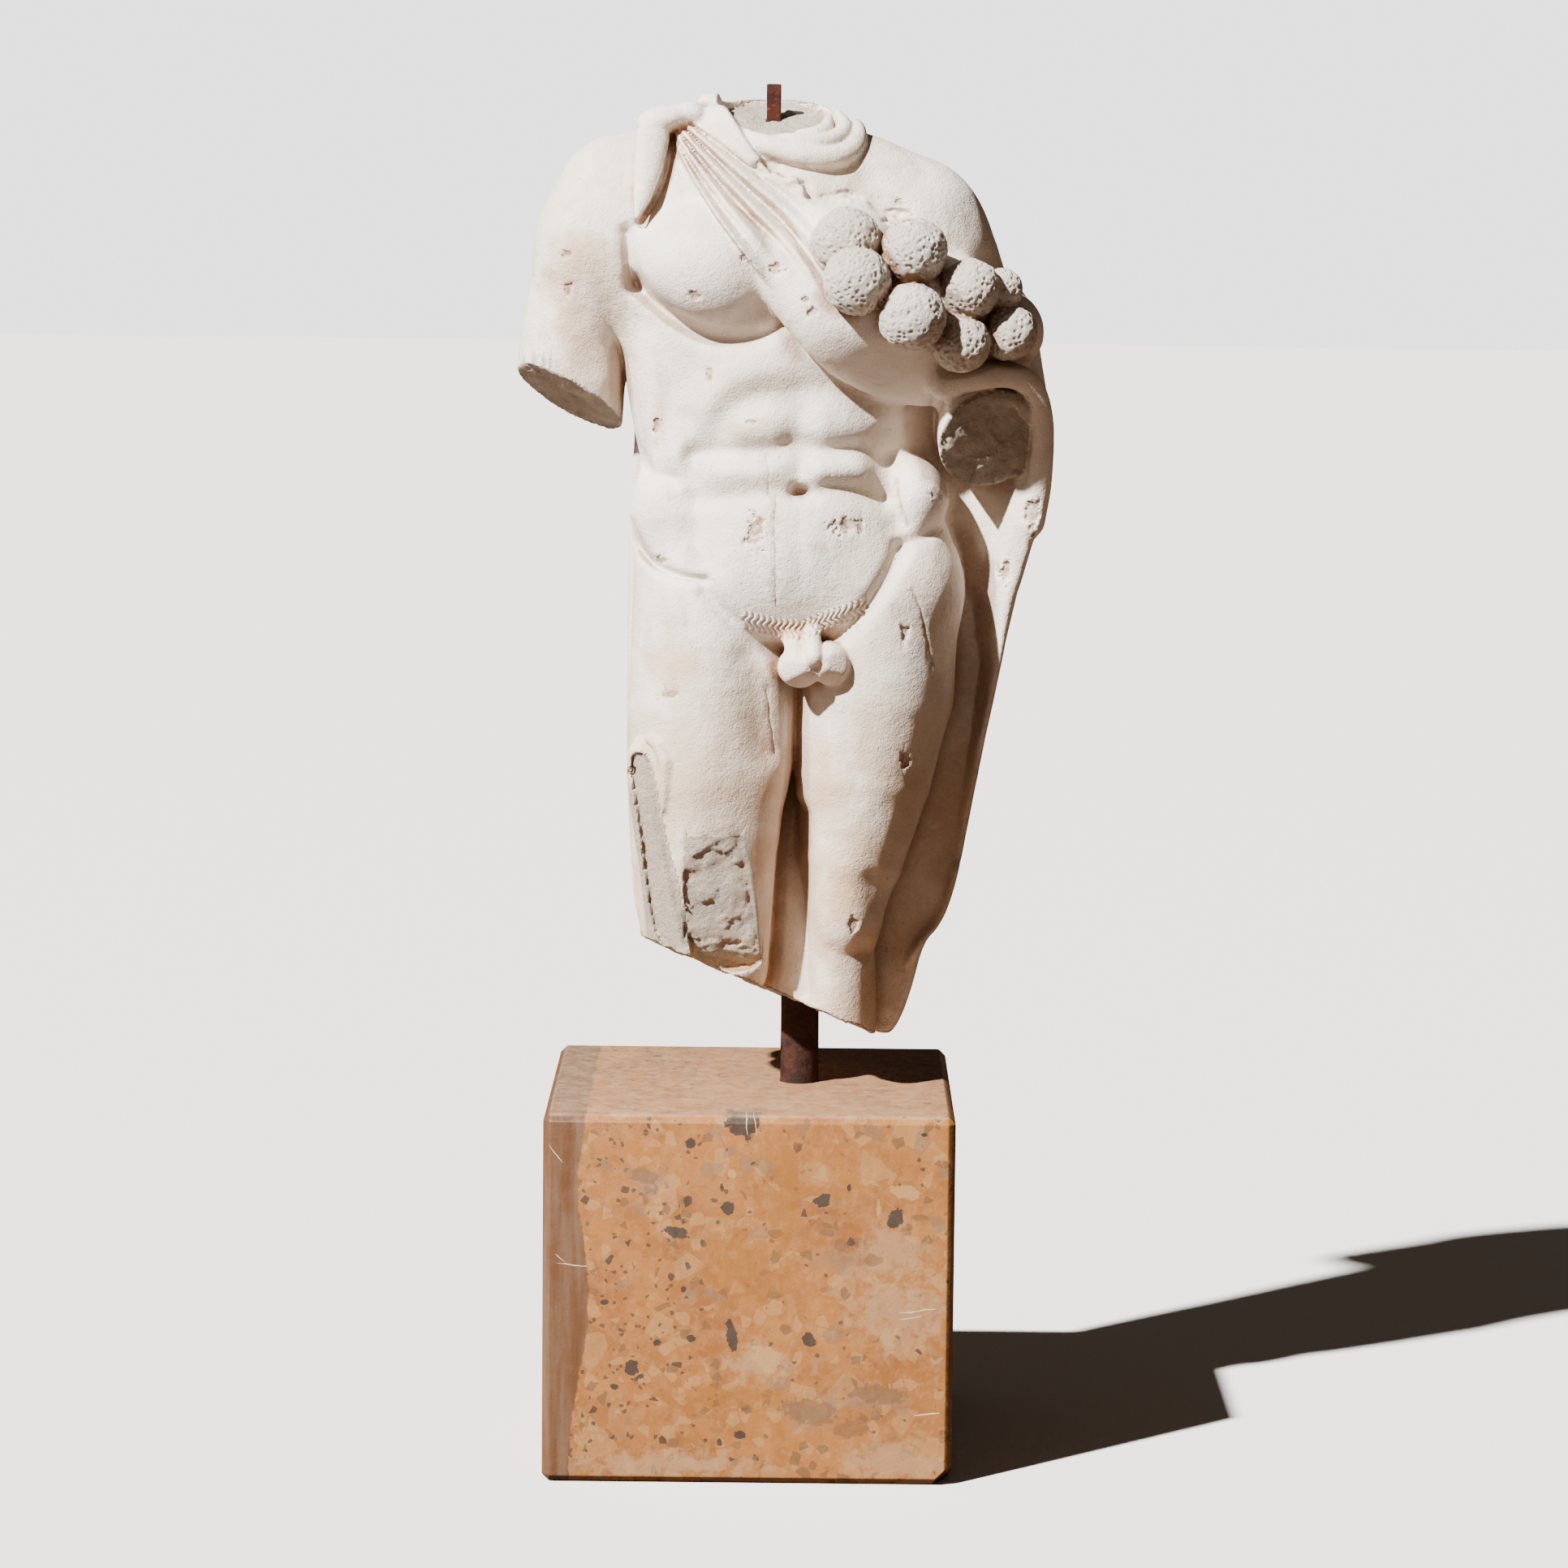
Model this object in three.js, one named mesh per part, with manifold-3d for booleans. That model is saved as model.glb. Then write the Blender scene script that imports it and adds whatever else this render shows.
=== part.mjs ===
// A broken marble statue of a standing man, from the neck to the knees, on an iron post in a breccia block.
// The figure wears a cloak that is knotted on one shoulder and gathered into a pouch full of fruit.
// Millimetres, +Z up. The origin is the middle of the block's underside, and -Y is the front.
import * as THREE from 'three';
import { triTable } from 'three/addons/objects/MarchingCubes.js';
import { mergeVertices } from 'three/addons/utils/BufferGeometryUtils.js';
import Module from 'manifold-3d';

const wasm = await Module();
wasm.setup();

// Driving dimensions of the block
const BLOCK_WIDTH = 450;
const BLOCK_DEPTH = 450;
const BLOCK_HEIGHT = 410;
const BLOCK_CHAMFER = 8;

// Driving dimensions of the two irons
const POST_RADIUS = 22;
const POST_OFFSET_X = 54;
const POST_OFFSET_Y = 0;
const POST_DEPTH_IN_BLOCK = 90;
const POST_DEPTH_IN_MARBLE = 160;
const POST_EDGE = 2;
const NECK_BAR_WIDTH = 17;
const NECK_BAR_THICKNESS = 9;
const NECK_BAR_LENGTH = 110;
const NECK_BAR_RISE = 44;
const NECK_BAR_EDGE = 1.5;
const SOCKET_CLEARANCE = 0.4;

// Driving dimensions of the figure
const FIGURE_HEIGHT = 1057;
const FIGURE_GAP = 48;

// The figure is carved at the size it was measured at, and then brought to FIGURE_HEIGHT.
const CARVED_HEIGHT = 1057;
const FIGURE_SCALE = FIGURE_HEIGHT / CARVED_HEIGHT;
const GRID_STEP = 6;
const FIGURE_TRIANGLES = 8900;
const ROUND_SIDES = 40;

const STONE_WHITE = 0xe9dfd3;
const BRECCIA = 0xc48f5e;
const RUST = 0x5a2a1c;

const mix = (a, b, t) => a + (b - a) * t;
const clamp = (v, lo, hi) => Math.min(Math.max(v, lo), hi);
const length2 = (a, b) => Math.sqrt(a * a + b * b);
const length3 = (a, b, c) => Math.sqrt(a * a + b * b + c * c);
const ramp = (from, to, v) => {
  const t = clamp((v - from) / (to - from), 0, 1);
  return t * t * (3 - 2 * t);
};

// Where two masses meet, the surface runs from one to the other over about `blend` millimetres.
function melt(a, b, blend) {
  const h = Math.max(blend - Math.abs(a - b), 0) / blend;
  return Math.min(a, b) - (h * h * blend) / 4;
}

// What two masses share
const common = (a, b, blend) => -melt(-a, -b, blend);

// An ellipsoid. `lean` turns it clockwise as seen from the front, and `pitch` tips its top backwards.
function ball([cx, cy, cz], [rx, ry, rz], lean = 0, pitch = 0) {
  const [cl, sl] = [Math.cos((lean * Math.PI) / 180), Math.sin((lean * Math.PI) / 180)];
  const [cp, sp] = [Math.cos((pitch * Math.PI) / 180), Math.sin((pitch * Math.PI) / 180)];
  return (x, y, z) => {
    const dx = x - cx;
    const dy = (y - cy) * cp - (z - cz) * sp;
    const dz = (y - cy) * sp + (z - cz) * cp;
    const u = (dx * cl - dz * sl) / rx;
    const v = dy / ry;
    const w = (dx * sl + dz * cl) / rz;
    const k = length3(u, v, w);
    return k < 1e-6 ? -Math.min(rx, ry, rz) : (k * (k - 1)) / length3(u / rx, v / ry, w / rz);
  };
}

// A tapering limb from a to b. `deep` is its depth as a share of its width.
function limb(a, b, ra, rb, deep = 1) {
  const d = [b[0] - a[0], (b[1] - a[1]) / deep, b[2] - a[2]];
  const dd = d[0] * d[0] + d[1] * d[1] + d[2] * d[2];
  return (x, y, z) => {
    const px = x - a[0];
    const py = (y - a[1]) / deep;
    const pz = z - a[2];
    const t = clamp((px * d[0] + py * d[1] + pz * d[2]) / dd, 0, 1);
    return length3(px - t * d[0], py - t * d[1], pz - t * d[2]) - mix(ra, rb, t);
  };
}

// A soft roll of cloth through the points [x, y, z, radius]
function roll(points, deep = 1) {
  const pieces = points.slice(1).map((to, i) => {
    const from = points[i];
    return limb(from.slice(0, 3), to.slice(0, 3), from[3], to[3], deep);
  });
  return (x, y, z) => pieces.reduce((d, piece) => Math.min(d, piece(x, y, z)), Infinity);
}

// The space behind a plane through a point: a clean break through the stone
function behind([px, py, pz], normal) {
  const n = new THREE.Vector3(...normal).normalize();
  return (x, y, z) => (x - px) * n.x + (y - py) * n.y + (z - pz) * n.z;
}

// How far [x, z] lies from a line in the front view
function lineDistance(points) {
  return (x, z) => {
    let best = Infinity;
    for (let i = 1; i < points.length; i++) {
      const [ax, az] = points[i - 1];
      const ex = points[i][0] - ax;
      const ez = points[i][1] - az;
      const t = clamp(((x - ax) * ex + (z - az) * ez) / (ex * ex + ez * ez), 0, 1);
      best = Math.min(best, length2(x - ax - t * ex, z - az - t * ez));
    }
    return best;
  };
}

// A front-view value is asked for again at every depth, so it is worked out once for each [x, z].
function remembered(value) {
  const known = new Map();
  return (x, z) => {
    const key = x * 10000 + z;
    if (!known.has(key)) known.set(key, value(x, z));
    return known.get(key);
  };
}

// Cuts the corners of a line, as a chisel would
function rounded(points, closed = false) {
  let line = points;
  for (let time = 0; time < 2; time++) {
    const ends = closed ? [...line.slice(1), line[0]] : line.slice(1);
    const cut = ends.flatMap((to, i) => [0.25, 0.75].map((t) => to.map((v, k) => mix(line[i][k], v, t))));
    line = closed ? cut : [line[0], ...cut.slice(1, -1), line[line.length - 1]];
  }
  return line;
}

// How far [x, z] lies outside an outline in the front view (negative inside)
function outline(corners) {
  const points = rounded(corners, true);
  const edge = lineDistance([...points, points[0]]);
  return remembered((x, z) => {
    let inside = false;
    for (let i = 0, j = points.length - 1; i < points.length; j = i++) {
      const [ax, az] = points[j];
      const [bx, bz] = points[i];
      if (az > z !== bz > z && x < ((bx - ax) * (z - az)) / (bz - az) + ax) inside = !inside;
    }
    return edge(x, z) * (inside ? -1 : 1);
  });
}

// A ridge or, with a negative height, a furrow along a line in the front view
function ridge(height, width, points) {
  const away = lineDistance(rounded(points));
  return (x, z) => {
    const d = away(x, z) / width;
    return d < 2.5 ? height * Math.exp(-d * d) : 0;
  };
}

const sumOf = (ridges) => remembered((x, z) => ridges.reduce((total, one) => total + one(x, z), 0));

// Folds that start together at one place and spread between a hem and a top line
function fanOf(start, hem, top, folds) {
  const fromHem = lineDistance(hem);
  const fromTop = lineDistance(top);
  const area = outline([...hem, ...[...top].reverse()]);
  return remembered((x, z) => {
    const across = fromHem(x, z) / (fromHem(x, z) + fromTop(x, z) + 0.01);
    const along = length2(x - start[0], z - start[1]);
    const height = folds.reduce((total, [place, rise, width, length]) => {
      const shape = Math.exp(-((Math.abs(across - place) / width) ** 1.5));
      return total + rise * shape * ramp(length, 0.55 * length, along);
    }, 0);
    return height * ramp(0, 34, along) * ramp(0, 5, -area(x, z));
  });
}

// The man's masses as [solid, blend]. x grows to the viewer's right, y to the back and z up, from the
// lowest break below the post's axis. The figure's own right side is on the viewer's left.
const TRUNK = [
  [ball([-38, -6, 800], [160, 106, 205]), 1],
  [ball([-38, 8, 912], [186, 86, 86]), 46],
  [ball([-32, -16, 655], [146, 98, 135]), 50],
  [ball([-16, -8, 560], [168, 100, 100], 4), 45],
  [roll([[-39, 22, 984, 56], [-210, 6, 950, 60]]), 45],
  [roll([[-39, 22, 975, 54], [110, 12, 925, 54]]), 45],
  [roll([[-39, 6, 960, 62], [-39, -4, 1060, 56]]), 40],
  [ball([-105, -74, 868], [85, 72, 71], 15), 14],
  [ball([32, -70, 862], [84, 68, 72], -14), 18],
  [ball([-152, 0, 775], [40, 72, 110], -4), 40],
  [ball([86, 0, 775], [40, 72, 110], 6), 40],
  [ball([-12, -68, 556], [104, 64, 92]), 40],
  [roll([[10, -34, 956, 42], [116, -22, 926, 46]]), 30],
  [ball([66, -8, 962], [62, 48, 44], 24), 30],
  [roll([[-90, -32, 962, 40], [-186, -16, 932, 44]]), 30],
  [ball([122, -36, 530], [47, 62, 64], -10), 26],
  [ball([119, -42, 614], [39, 56, 48], -16), 22],
  [ball([-146, -38, 596], [42, 54, 54], 10), 34],
];
const LEGS = [
  [roll([
    [-98, -26, 500, 92], [-104, -30, 377, 91], [-107, -32, 304, 89], [-110, -34, 213, 80], [-109, -36, 90, 66],
  ], 1.04), 34],
  [roll([
    [-62, -58, 420, 46], [-62, -60, 325, 46], [-72, -60, 266, 42], [-78, -58, 220, 40], [-80, -54, 90, 38],
  ]), 26],
  [roll([
    [82, -24, 500, 90], [80, -26, 399, 88], [69, -30, 308, 76], [54, -36, 216, 61], [43, -38, 160, 49],
    [39, -36, 110, 45], [42, -28, -40, 44],
  ], 1.1), 6],
  [roll([[20, -40, 440, 27], [18, -44, 360, 26], [22, -42, 270, 20]]), 16],
  [ball([50, -64, 152], [32, 28, 40], -6), 34],
  [ball([-12, -108, 449], [14, 20, 14]), 12],
];
const DELTOIDS = [
  [ball([-212, 0, 884], [84, 78, 100], -6), 1],
  [ball([121, 0, 878], [81, 76, 98], 10), 40],
];
const UPPER_ARMS = [
  [roll([[-232, 0, 880, 66], [-258, 6, 790, 60], [-270, 14, 650, 62]], 1.06), 1],
  [roll([[140, 4, 870, 62], [198, 30, 700, 56]]), 30],
];
const GENITALS = [
  [ball([-5, -112, 432], [24, 28, 22], 14), 1],
  [ball([29, -112, 437], [22, 28, 25], -20), 5],
  [roll([[9, -112, 470, 9], [11, -134, 445, 10]]), 3],
];

// Grooves and soft ridges of the front of the body: height, width, line
const BODY_LINES = sumOf([
  ridge(-4, 15, [[-12, 800], [-10, 740], [-9, 690]]),
  ridge(-4, 10, [[-8, 662], [-7, 640]]),
  ridge(-2, 10, [[-7, 606], [-6, 560], [-4, 520]]),
  ridge(-12, 10, [[-188, 850], [-166, 826], [-118, 794], [-80, 788], [-38, 798], [-18, 816]]),
  ridge(6, 20, [[-18, 758], [-49, 760], [-84, 746], [-116, 714], [-134, 668]]),
  ridge(-6, 18, [[-34, 728], [-60, 726], [-84, 708], [-100, 682]]),
  ridge(-5, 18, [[12, 738], [40, 738], [62, 716]]),
  ridge(6, 22, [[-70, 698], [-40, 702]]),
  ridge(7, 24, [[26, 700], [48, 698]]),
  ridge(-7, 11, [[-122, 663], [-79, 668], [-35, 669], [-13, 678], [23, 668], [58, 674], [82, 660]]),
  ridge(6, 15, [[-100, 644], [-40, 648]]),
  ridge(9, 17, [[20, 650], [58, 650]]),
  ridge(-4, 12, [[-140, 616], [-114, 613], [-70, 619], [-30, 624], [-18, 622]]),
  ridge(-6, 11, [[8, 622], [20, 630], [50, 627], [84, 616]]),
  ridge(-4, 12, [[84, 690], [94, 656], [99, 626], [103, 592]]),
  ridge(-6, 15, [[-128, 700], [-124, 640], [-118, 593], [-112, 549]]),
  ridge(-18, 8, [[-9, 625], [-3, 624]]),
  ridge(-9, 6, [[-194, 580], [-188, 569], [-172, 544], [-145, 531], [-125, 527], [-108, 527]]),
  ridge(-10, 10, [[-108, 514], [-91, 494], [-68, 472], [-44, 456], [-26, 446]]),
  ridge(-9, 10, [[104, 560], [87, 524], [61, 488], [34, 463], [22, 452]]),
  ridge(-4, 8, [[102, 566], [131, 573], [160, 596]]),
  ridge(-8, 10, [[-198, 668], [-185, 655], [-169, 638], [-146, 634]]),
  ridge(-6, 18, [[-62, 440], [-50, 400], [-42, 340]]),
  ridge(3, 34, [[-96, 440], [-104, 300]]),
  ridge(-4, 18, [[-150, 470], [-158, 400]]),
  ridge(-15, 13, [[-2, 262], [3, 190], [6, 120], [6, 60]]),
  ridge(-4, 14, [[76, 196], [80, 150], [72, 112]]),
  ridge(-3, 12, [[34, 114], [50, 108], [66, 114]]),
  ridge(-9, 9, [[-198, 905], [-194, 870], [-190, 846]]),
  ridge(-6, 16, [[64, 960], [92, 925], [110, 880]]),
  ridge(-4, 16, [[-290, 836], [-262, 812], [-238, 760]]),
  ridge(-11, 6, [[-150, 1006], [-154, 968], [-166, 940], [-182, 916]]),
]);

// The cloak on the chest: the outline it covers, and the fan of folds that starts at the shoulder knot. Each
// fold has a place between the hem (0) and the top line (1), a height, a width as a share, and a length.
const SLING = outline([
  [-154, 1011], [-130, 964], [-105, 927], [-75, 888], [-47, 852], [-18, 818], [8, 786], [40, 752],
  [90, 740], [150, 760], [200, 810], [205, 858], [153, 893], [114, 917], [94, 931], [76, 928], [62, 948],
  [44, 949], [20, 939], [-4, 944], [0, 960], [-16, 970], [-27, 966], [-49, 984], [-64, 1004], [-80, 1030],
  [-95, 1050], [-132, 1036],
]);
const FAN_START = [-146, 1024];
const FAN_HEM = rounded([[-154, 1011], [-130, 964], [-96, 913], [-53, 856], [-24, 819], [24, 772]]);
const FAN_TOP = rounded([[-136, 1032], [-87, 1004], [-49, 979], [-11, 955], [13, 932], [33, 909], [60, 860]]);
const FAN_FOLDS = [
  [0.16, -10, 0.070, 200], [0.37, -15, 0.075, 300], [0.60, -14, 0.070, 320], [0.83, -10, 0.060, 230],
  [0.05, 4, 0.070, 300], [0.27, 6, 0.080, 260], [0.48, 7, 0.085, 310], [0.71, 6, 0.080, 280],
];
const SLING_FOLDS = fanOf(FAN_START, FAN_HEM, FAN_TOP, FAN_FOLDS);
const KNOT = [
  [ball([-160, -30, 1027], [31, 31, 16], -12), 12],
  [ball([-128, -28, 1034], [16, 22, 13], 20), 10],
  [roll([[-172, -50, 1008, 19], [-175, -68, 978, 16], [-181, -86, 945, 10], [-187, -94, 922, 3]], 0.6), 6],
];
const COLLAR = [
  [roll(rounded([
    [-100, 8, 1044, 14], [-88, -34, 1020, 13], [-62, -62, 1004, 12], [-18, -80, 993, 12], [16, -80, 987, 12],
    [40, -68, 991, 12], [52, -48, 1003, 12], [52, -22, 1019, 11], [46, 20, 1020, 12], [20, 66, 1002, 14],
    [-50, 80, 1004, 16], [-100, 54, 1026, 16], [-112, 14, 1043, 13],
  ])), 6],
  [roll(rounded([
    [-46, -62, 1006, 7], [-10, -74, 1006, 9], [14, -72, 1004, 10], [34, -56, 1010, 10], [40, -34, 1022, 9],
    [30, -12, 1033, 8],
  ])), 2],
  [roll(rounded([[-24, -58, 1012, 6], [2, -60, 1012, 8], [19, -46, 1018, 8], [20, -26, 1029, 7]])), 2],
];

// The pouch: its smooth front, the cloth below and behind the fruit, and the fruit with its radius
const POUCH = [
  [roll(rounded([
    [-70, -104, 900, 20], [-28, -118, 858, 30], [20, -128, 810, 38], [75, -116, 770, 46], [130, -88, 748, 45],
    [176, -82, 750, 37],
  ]), 0.9), 16],
  [ball([112, -84, 814], [102, 84, 74], 22), 26],
  [roll([[150, -70, 830, 58], [214, -66, 800, 46]]), 20],
];
const POUCH_FACE = behind([90, -150, 800], [0.22, -0.78, -0.58]);
const FRUITS = [
  [42, -146, 899, 37], [53, -172, 857, 37], [114, -146, 889, 37], [113, -174, 819, 37],
  [167, -142, 790, 32], [176, -134, 848, 33], [211, -108, 847, 24], [220, -114, 801, 31],
];

// The cloak round the forearm, the broken forearm in it, and the length that hangs below
const FOREARM = roll([[200, 20, 700, 56], [198, -120, 675, 53]]);
const FOREARM_END = behind([198, -86, 675], [0.45, -1, -0.42]);
const WRAP = roll([[196, 40, 800, 60], [208, 34, 712, 62], [208, -74, 704, 62]]);
const WRAP_END = behind([200, -72, 690], [0.45, -1, -0.42]);
const WRAP_RIM = [
  [roll(rounded([
    [150, -104, 742, 16], [182, -110, 752, 15], [220, -104, 756, 14], [244, -92, 746, 14], [256, -80, 722, 13],
    [261, -70, 686, 13], [259, -60, 640, 13], [252, -50, 590, 12],
  ])), 4],
  [roll(rounded([[162, -96, 722, 8], [202, -100, 733, 8], [230, -90, 728, 8], [245, -78, 706, 7]])), 4],
];
const HANGING = outline([
  [80, 790], [236, 790], [262, 720], [268, 640], [262, 605], [247, 543], [231, 493], [218, 414], [205, 349],
  [192, 276],
  [184, 225], [171, 165], [158, 130], [137, 109], [127, 62], [110, 14], [95, 2], [60, 24], [20, 60], [60, 300],
]);
const HANGING_FOLDS = sumOf([
  ridge(5, 12, [[236, 660], [222, 560], [204, 450]]),
  ridge(-5, 10, [[222, 640], [206, 560], [192, 470]]),
  ridge(5, 12, [[176, 330], [158, 220], [140, 150]]),
  ridge(-5, 10, [[150, 300], [128, 200], [104, 110], [96, 30]]),
  ridge(14, 10, [[80, 52], [112, 84], [141, 114], [161, 136], [176, 190]]),
]);
const BACK = outline([
  [-95, 1034], [-150, 1010], [-200, 968], [-208, 900], [-196, 780], [-190, 690], [-194, 640], [-198, 500],
  [-198, 300], [-190, 150], [-176, 108], [-75, 70], [0, 40], [95, 0], [110, 14], [127, 62], [137, 109],
  [158, 130], [192, 276], [218, 414], [247, 543], [268, 640], [262, 730], [232, 830], [196, 930], [120, 980],
  [50, 1002], [-30, 1010],
]);
const BACK_FOLDS = sumOf([
  ridge(12, 16, [[-150, 980], [-120, 700], [-150, 400], [-160, 120]]),
  ridge(-12, 14, [[-120, 960], [-84, 700], [-110, 400], [-120, 110]]),
  ridge(12, 16, [[-110, 1000], [-40, 720], [-64, 400], [-80, 90]]),
  ridge(-12, 14, [[-80, 980], [10, 740], [-20, 420], [-40, 80]]),
  ridge(12, 16, [[-60, 1000], [70, 760], [40, 420], [10, 60]]),
  ridge(-12, 14, [[-20, 980], [130, 780], [90, 430], [50, 50]]),
  ridge(12, 16, [[20, 980], [190, 780], [150, 430], [90, 40]]),
]);

// The stub of a broken support on the outer side of the figure's right thigh: its root, the chiselled strip
// down its front, and the lip beside the strip
const STRUT = roll([[-174, -80, 330, 20], [-169, -86, 280, 22], [-160, -88, 235, 24], [-140, -84, 100, 27]]);
const STRUT_LIP = roll([
  [-170, -98, 350, 5], [-158, -106, 344, 7], [-150, -112, 326, 8], [-150, -112, 302, 6], [-153, -110, 272, 3],
]);
const STRIP = outline([
  [-192, 334], [-189, 305], [-179, 242], [-163, 112], [-119, 112], [-122, 145], [-144, 224], [-154, 266],
  [-161, 307], [-172, 336],
]);
const STRIP_SINK = 4.5;

// The web of stone that is left between the legs
const WEB = roll([[-8, 44, 430, 30], [-14, 42, 300, 34], [-10, 24, 200, 42], [-4, 8, 130, 46], [-4, 6, 0, 48]]);

// The breaks, each kept on the far side of a line where it stops
const NECK_BREAK = behind([-39, -20, 1019], [0, -0.34, 0.94]);
const NECK_BREAK_RADIUS = 62;
const ARM_BREAK = behind([-272, 0, 726], [-0.43, -0.3, -0.85]);
const ARM_BREAK_INNER_X = -197;
const LOWER_BREAK = behind([-44, -40, 64], [-0.37, -0.15, -0.91]);
const TIP_BREAK = behind([100, 0, 3], [0.1, -0.1, -0.98]);
const KNEE = outline([
  [-128, 212], [-110, 229], [-81, 243], [-58, 216], [-52, 198], [-53, 167], [-44, 138], [-36, 90], [-120, 90],
  [-123, 125], [-128, 158],
]);
const KNEE_BREAK = behind([-88, -116, 238], [0.12, -0.97, -0.2]);
const KNEE_END = behind([-88, -100, 132], [0.02, -0.8, -0.6]);
const STRUT_BREAK = behind([-168, -104, 230], [-0.64, -0.74, -0.17]);
const GENITAL_BREAKS = [
    behind([12, -126, 420], [0.06, -0.66, -0.75]), behind([-12, -133, 430], [-0.42, -0.9, -0.12]),
    behind([38, -133, 434], [0.46, -0.88, 0.05]), behind([12, -146, 440], [-0.25, -0.93, -0.28]),
];

const BACK_START_Y = 12;
const SLING_THICKNESS = 13;
const SLING_EDGE = 7;
const CLOAK_THICKNESS = 12;
const FACET_ALLOWANCE = 0.9;

const massOf = (masses) => (x, y, z) => {
  let d = masses[0][0](x, y, z);
  for (let i = 1; i < masses.length; i++) d = melt(d, masses[i][0](x, y, z), masses[i][1]);
  return d;
};
const trunk = massOf(TRUNK);
const legs = massOf(LEGS);
const deltoids = massOf(DELTOIDS);
const upperArms = massOf(UPPER_ARMS);
const genitals = massOf(GENITALS);
const knot = massOf(KNOT);
const collar = massOf(COLLAR);
const pouch = massOf(POUCH);
const wrapRim = massOf(WRAP_RIM);

// The naked body, with its grooves, and with the broken arm, knee, support and genitals
function body(x, y, z) {
  let d = melt(melt(trunk(x, y, z), legs(x, y, z), 34), deltoids(x, y, z), 34);
  d = melt(d, upperArms(x, y, z), mix(3, 30, ramp(810, 900, z)));
  if (Math.abs(d) > 60) return d;
  d -= BODY_LINES(x, z) * ramp(-10, -50, y);
  d = melt(d, GENITAL_BREAKS.reduce((part, plane) => common(part, plane(x, y, z), 1.5), genitals(x, y, z)), 6);
  if (z > 540) return common(d, Math.min(ARM_BREAK(x, y, z), ARM_BREAK_INNER_X - x), 3);
  if (z > 430) return d;
  d = melt(d, common(STRUT(x, y, z), STRUT_BREAK(x, y, z), 2), 4);
  d = melt(d + STRIP_SINK * ramp(0, 3, -STRIP(x, z)) * ramp(0, -30, y), STRUT_LIP(x, y, z), 3);
  return common(d, Math.min(Math.max(KNEE_BREAK(x, y, z), KNEE_END(x, y, z)), -KNEE(x, z)), 2);
}

// The cloak over the chest follows the body under it
function sling(x, y, z, skin) {
  const inside = ramp(0, SLING_EDGE, -SLING(x, z)) * ramp(0, -20, y);
  return skin - (SLING_THICKNESS + SLING_FOLDS(x, z)) * inside;
}

// The cloak behind the body, from the shoulders to the broken edge
function back(x, y, z, skin) {
  const middle = mix(20, -40, ramp(100, 900, z));
  const elbow = 46 * ramp(110, 200, x) * ramp(430, 640, z) * ramp(900, 700, z);
  const depth = Math.max(100 - 0.0013 * (x - middle) ** 2, 50) + elbow - 22 * ramp(930, 1030, z);
  const folds = BACK_FOLDS(x, z) * ramp(20, 60, y) * ramp(1010, 920, z);
  const sheet = Math.min(skin - CLOAK_THICKNESS, y - depth) - folds;
  return common(common(sheet, BACK(x, z), 14), BACK_START_Y - y, 10);
}

// The cloak that hangs from the forearm
function hanging(x, y, z) {
  const edgeY = mix(6, -58, ramp(120, 600, z));
  const edgeWidth = mix(26, 96, ramp(420, 620, z));
  const deepY = mix(36, -14, ramp(280, 610, z));
  const front = mix(edgeY, deepY, ramp(0, edgeWidth, -HANGING(x, z))) - HANGING_FOLDS(x, z);
  return common(common(front - y, y - mix(60, 100, ramp(430, 640, z)), 20), HANGING(x, z), 16);
}

function fruits(x, y, z) {
  let d = Infinity;
  for (const [fx, fy, fz, r] of FRUITS) d = Math.min(d, length3(x - fx, y - fy, z - fz) - r);
  return d;
}

// How far a point lies outside the whole figure (negative inside)
function figureField(x, y, z) {
  const skin = body(x, y, z);
  let d = melt(skin, back(x, y, z, skin), 8);
  if (z < 470) d = melt(d, WEB(x, y, z), 10);
  if (z < 860 && x > 0) d = melt(d, hanging(x, y, z), 6);
  if (z > 640 && y < 0 && x > -160) d = Math.min(d, sling(x, y, z, skin));
  if (z > 640 && x > -140) d = melt(d, common(pouch(x, y, z), POUCH_FACE(x, y, z), 22), 8);
  if (z > 560 && x > 60) {
    d = melt(d, melt(common(WRAP(x, y, z), WRAP_END(x, y, z), 8), wrapRim(x, y, z), 8), 14);
    d = melt(d, common(FOREARM(x, y, z), FOREARM_END(x, y, z), 4), 5);
  }
  if (z > 700 && x > -20) d = melt(d, fruits(x, y, z), 3);
  if (z > 860) d = melt(melt(d, knot(x, y, z), 6), collar(x, y, z), 5);
  d = common(d, Math.min(NECK_BREAK(x, y, z), NECK_BREAK_RADIUS - length2(x + 39, y + 4)), 4);
  // Flat facets lie a little inside a round surface, so the surface is taken that much further out.
  return common(common(d, LOWER_BREAK(x, y, z), 4), TIP_BREAK(x, y, z), 4) - FACET_ALLOWANCE;
}

// The grid that the field is read on. A triangle corner lies on each grid edge where the field is zero.
const GRID_FROM = [-345, -250, -15];
const GRID_TO = [295, 130, 1075];
const CORNERS = [[0, 0, 0], [1, 0, 0], [1, 1, 0], [0, 1, 0], [0, 0, 1], [1, 0, 1], [1, 1, 1], [0, 1, 1]];
const EDGES = [
  [0, 1], [1, 2], [2, 3], [3, 0], [4, 5], [5, 6], [6, 7], [7, 4], [0, 4], [1, 5], [2, 6], [3, 7],
];

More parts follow.
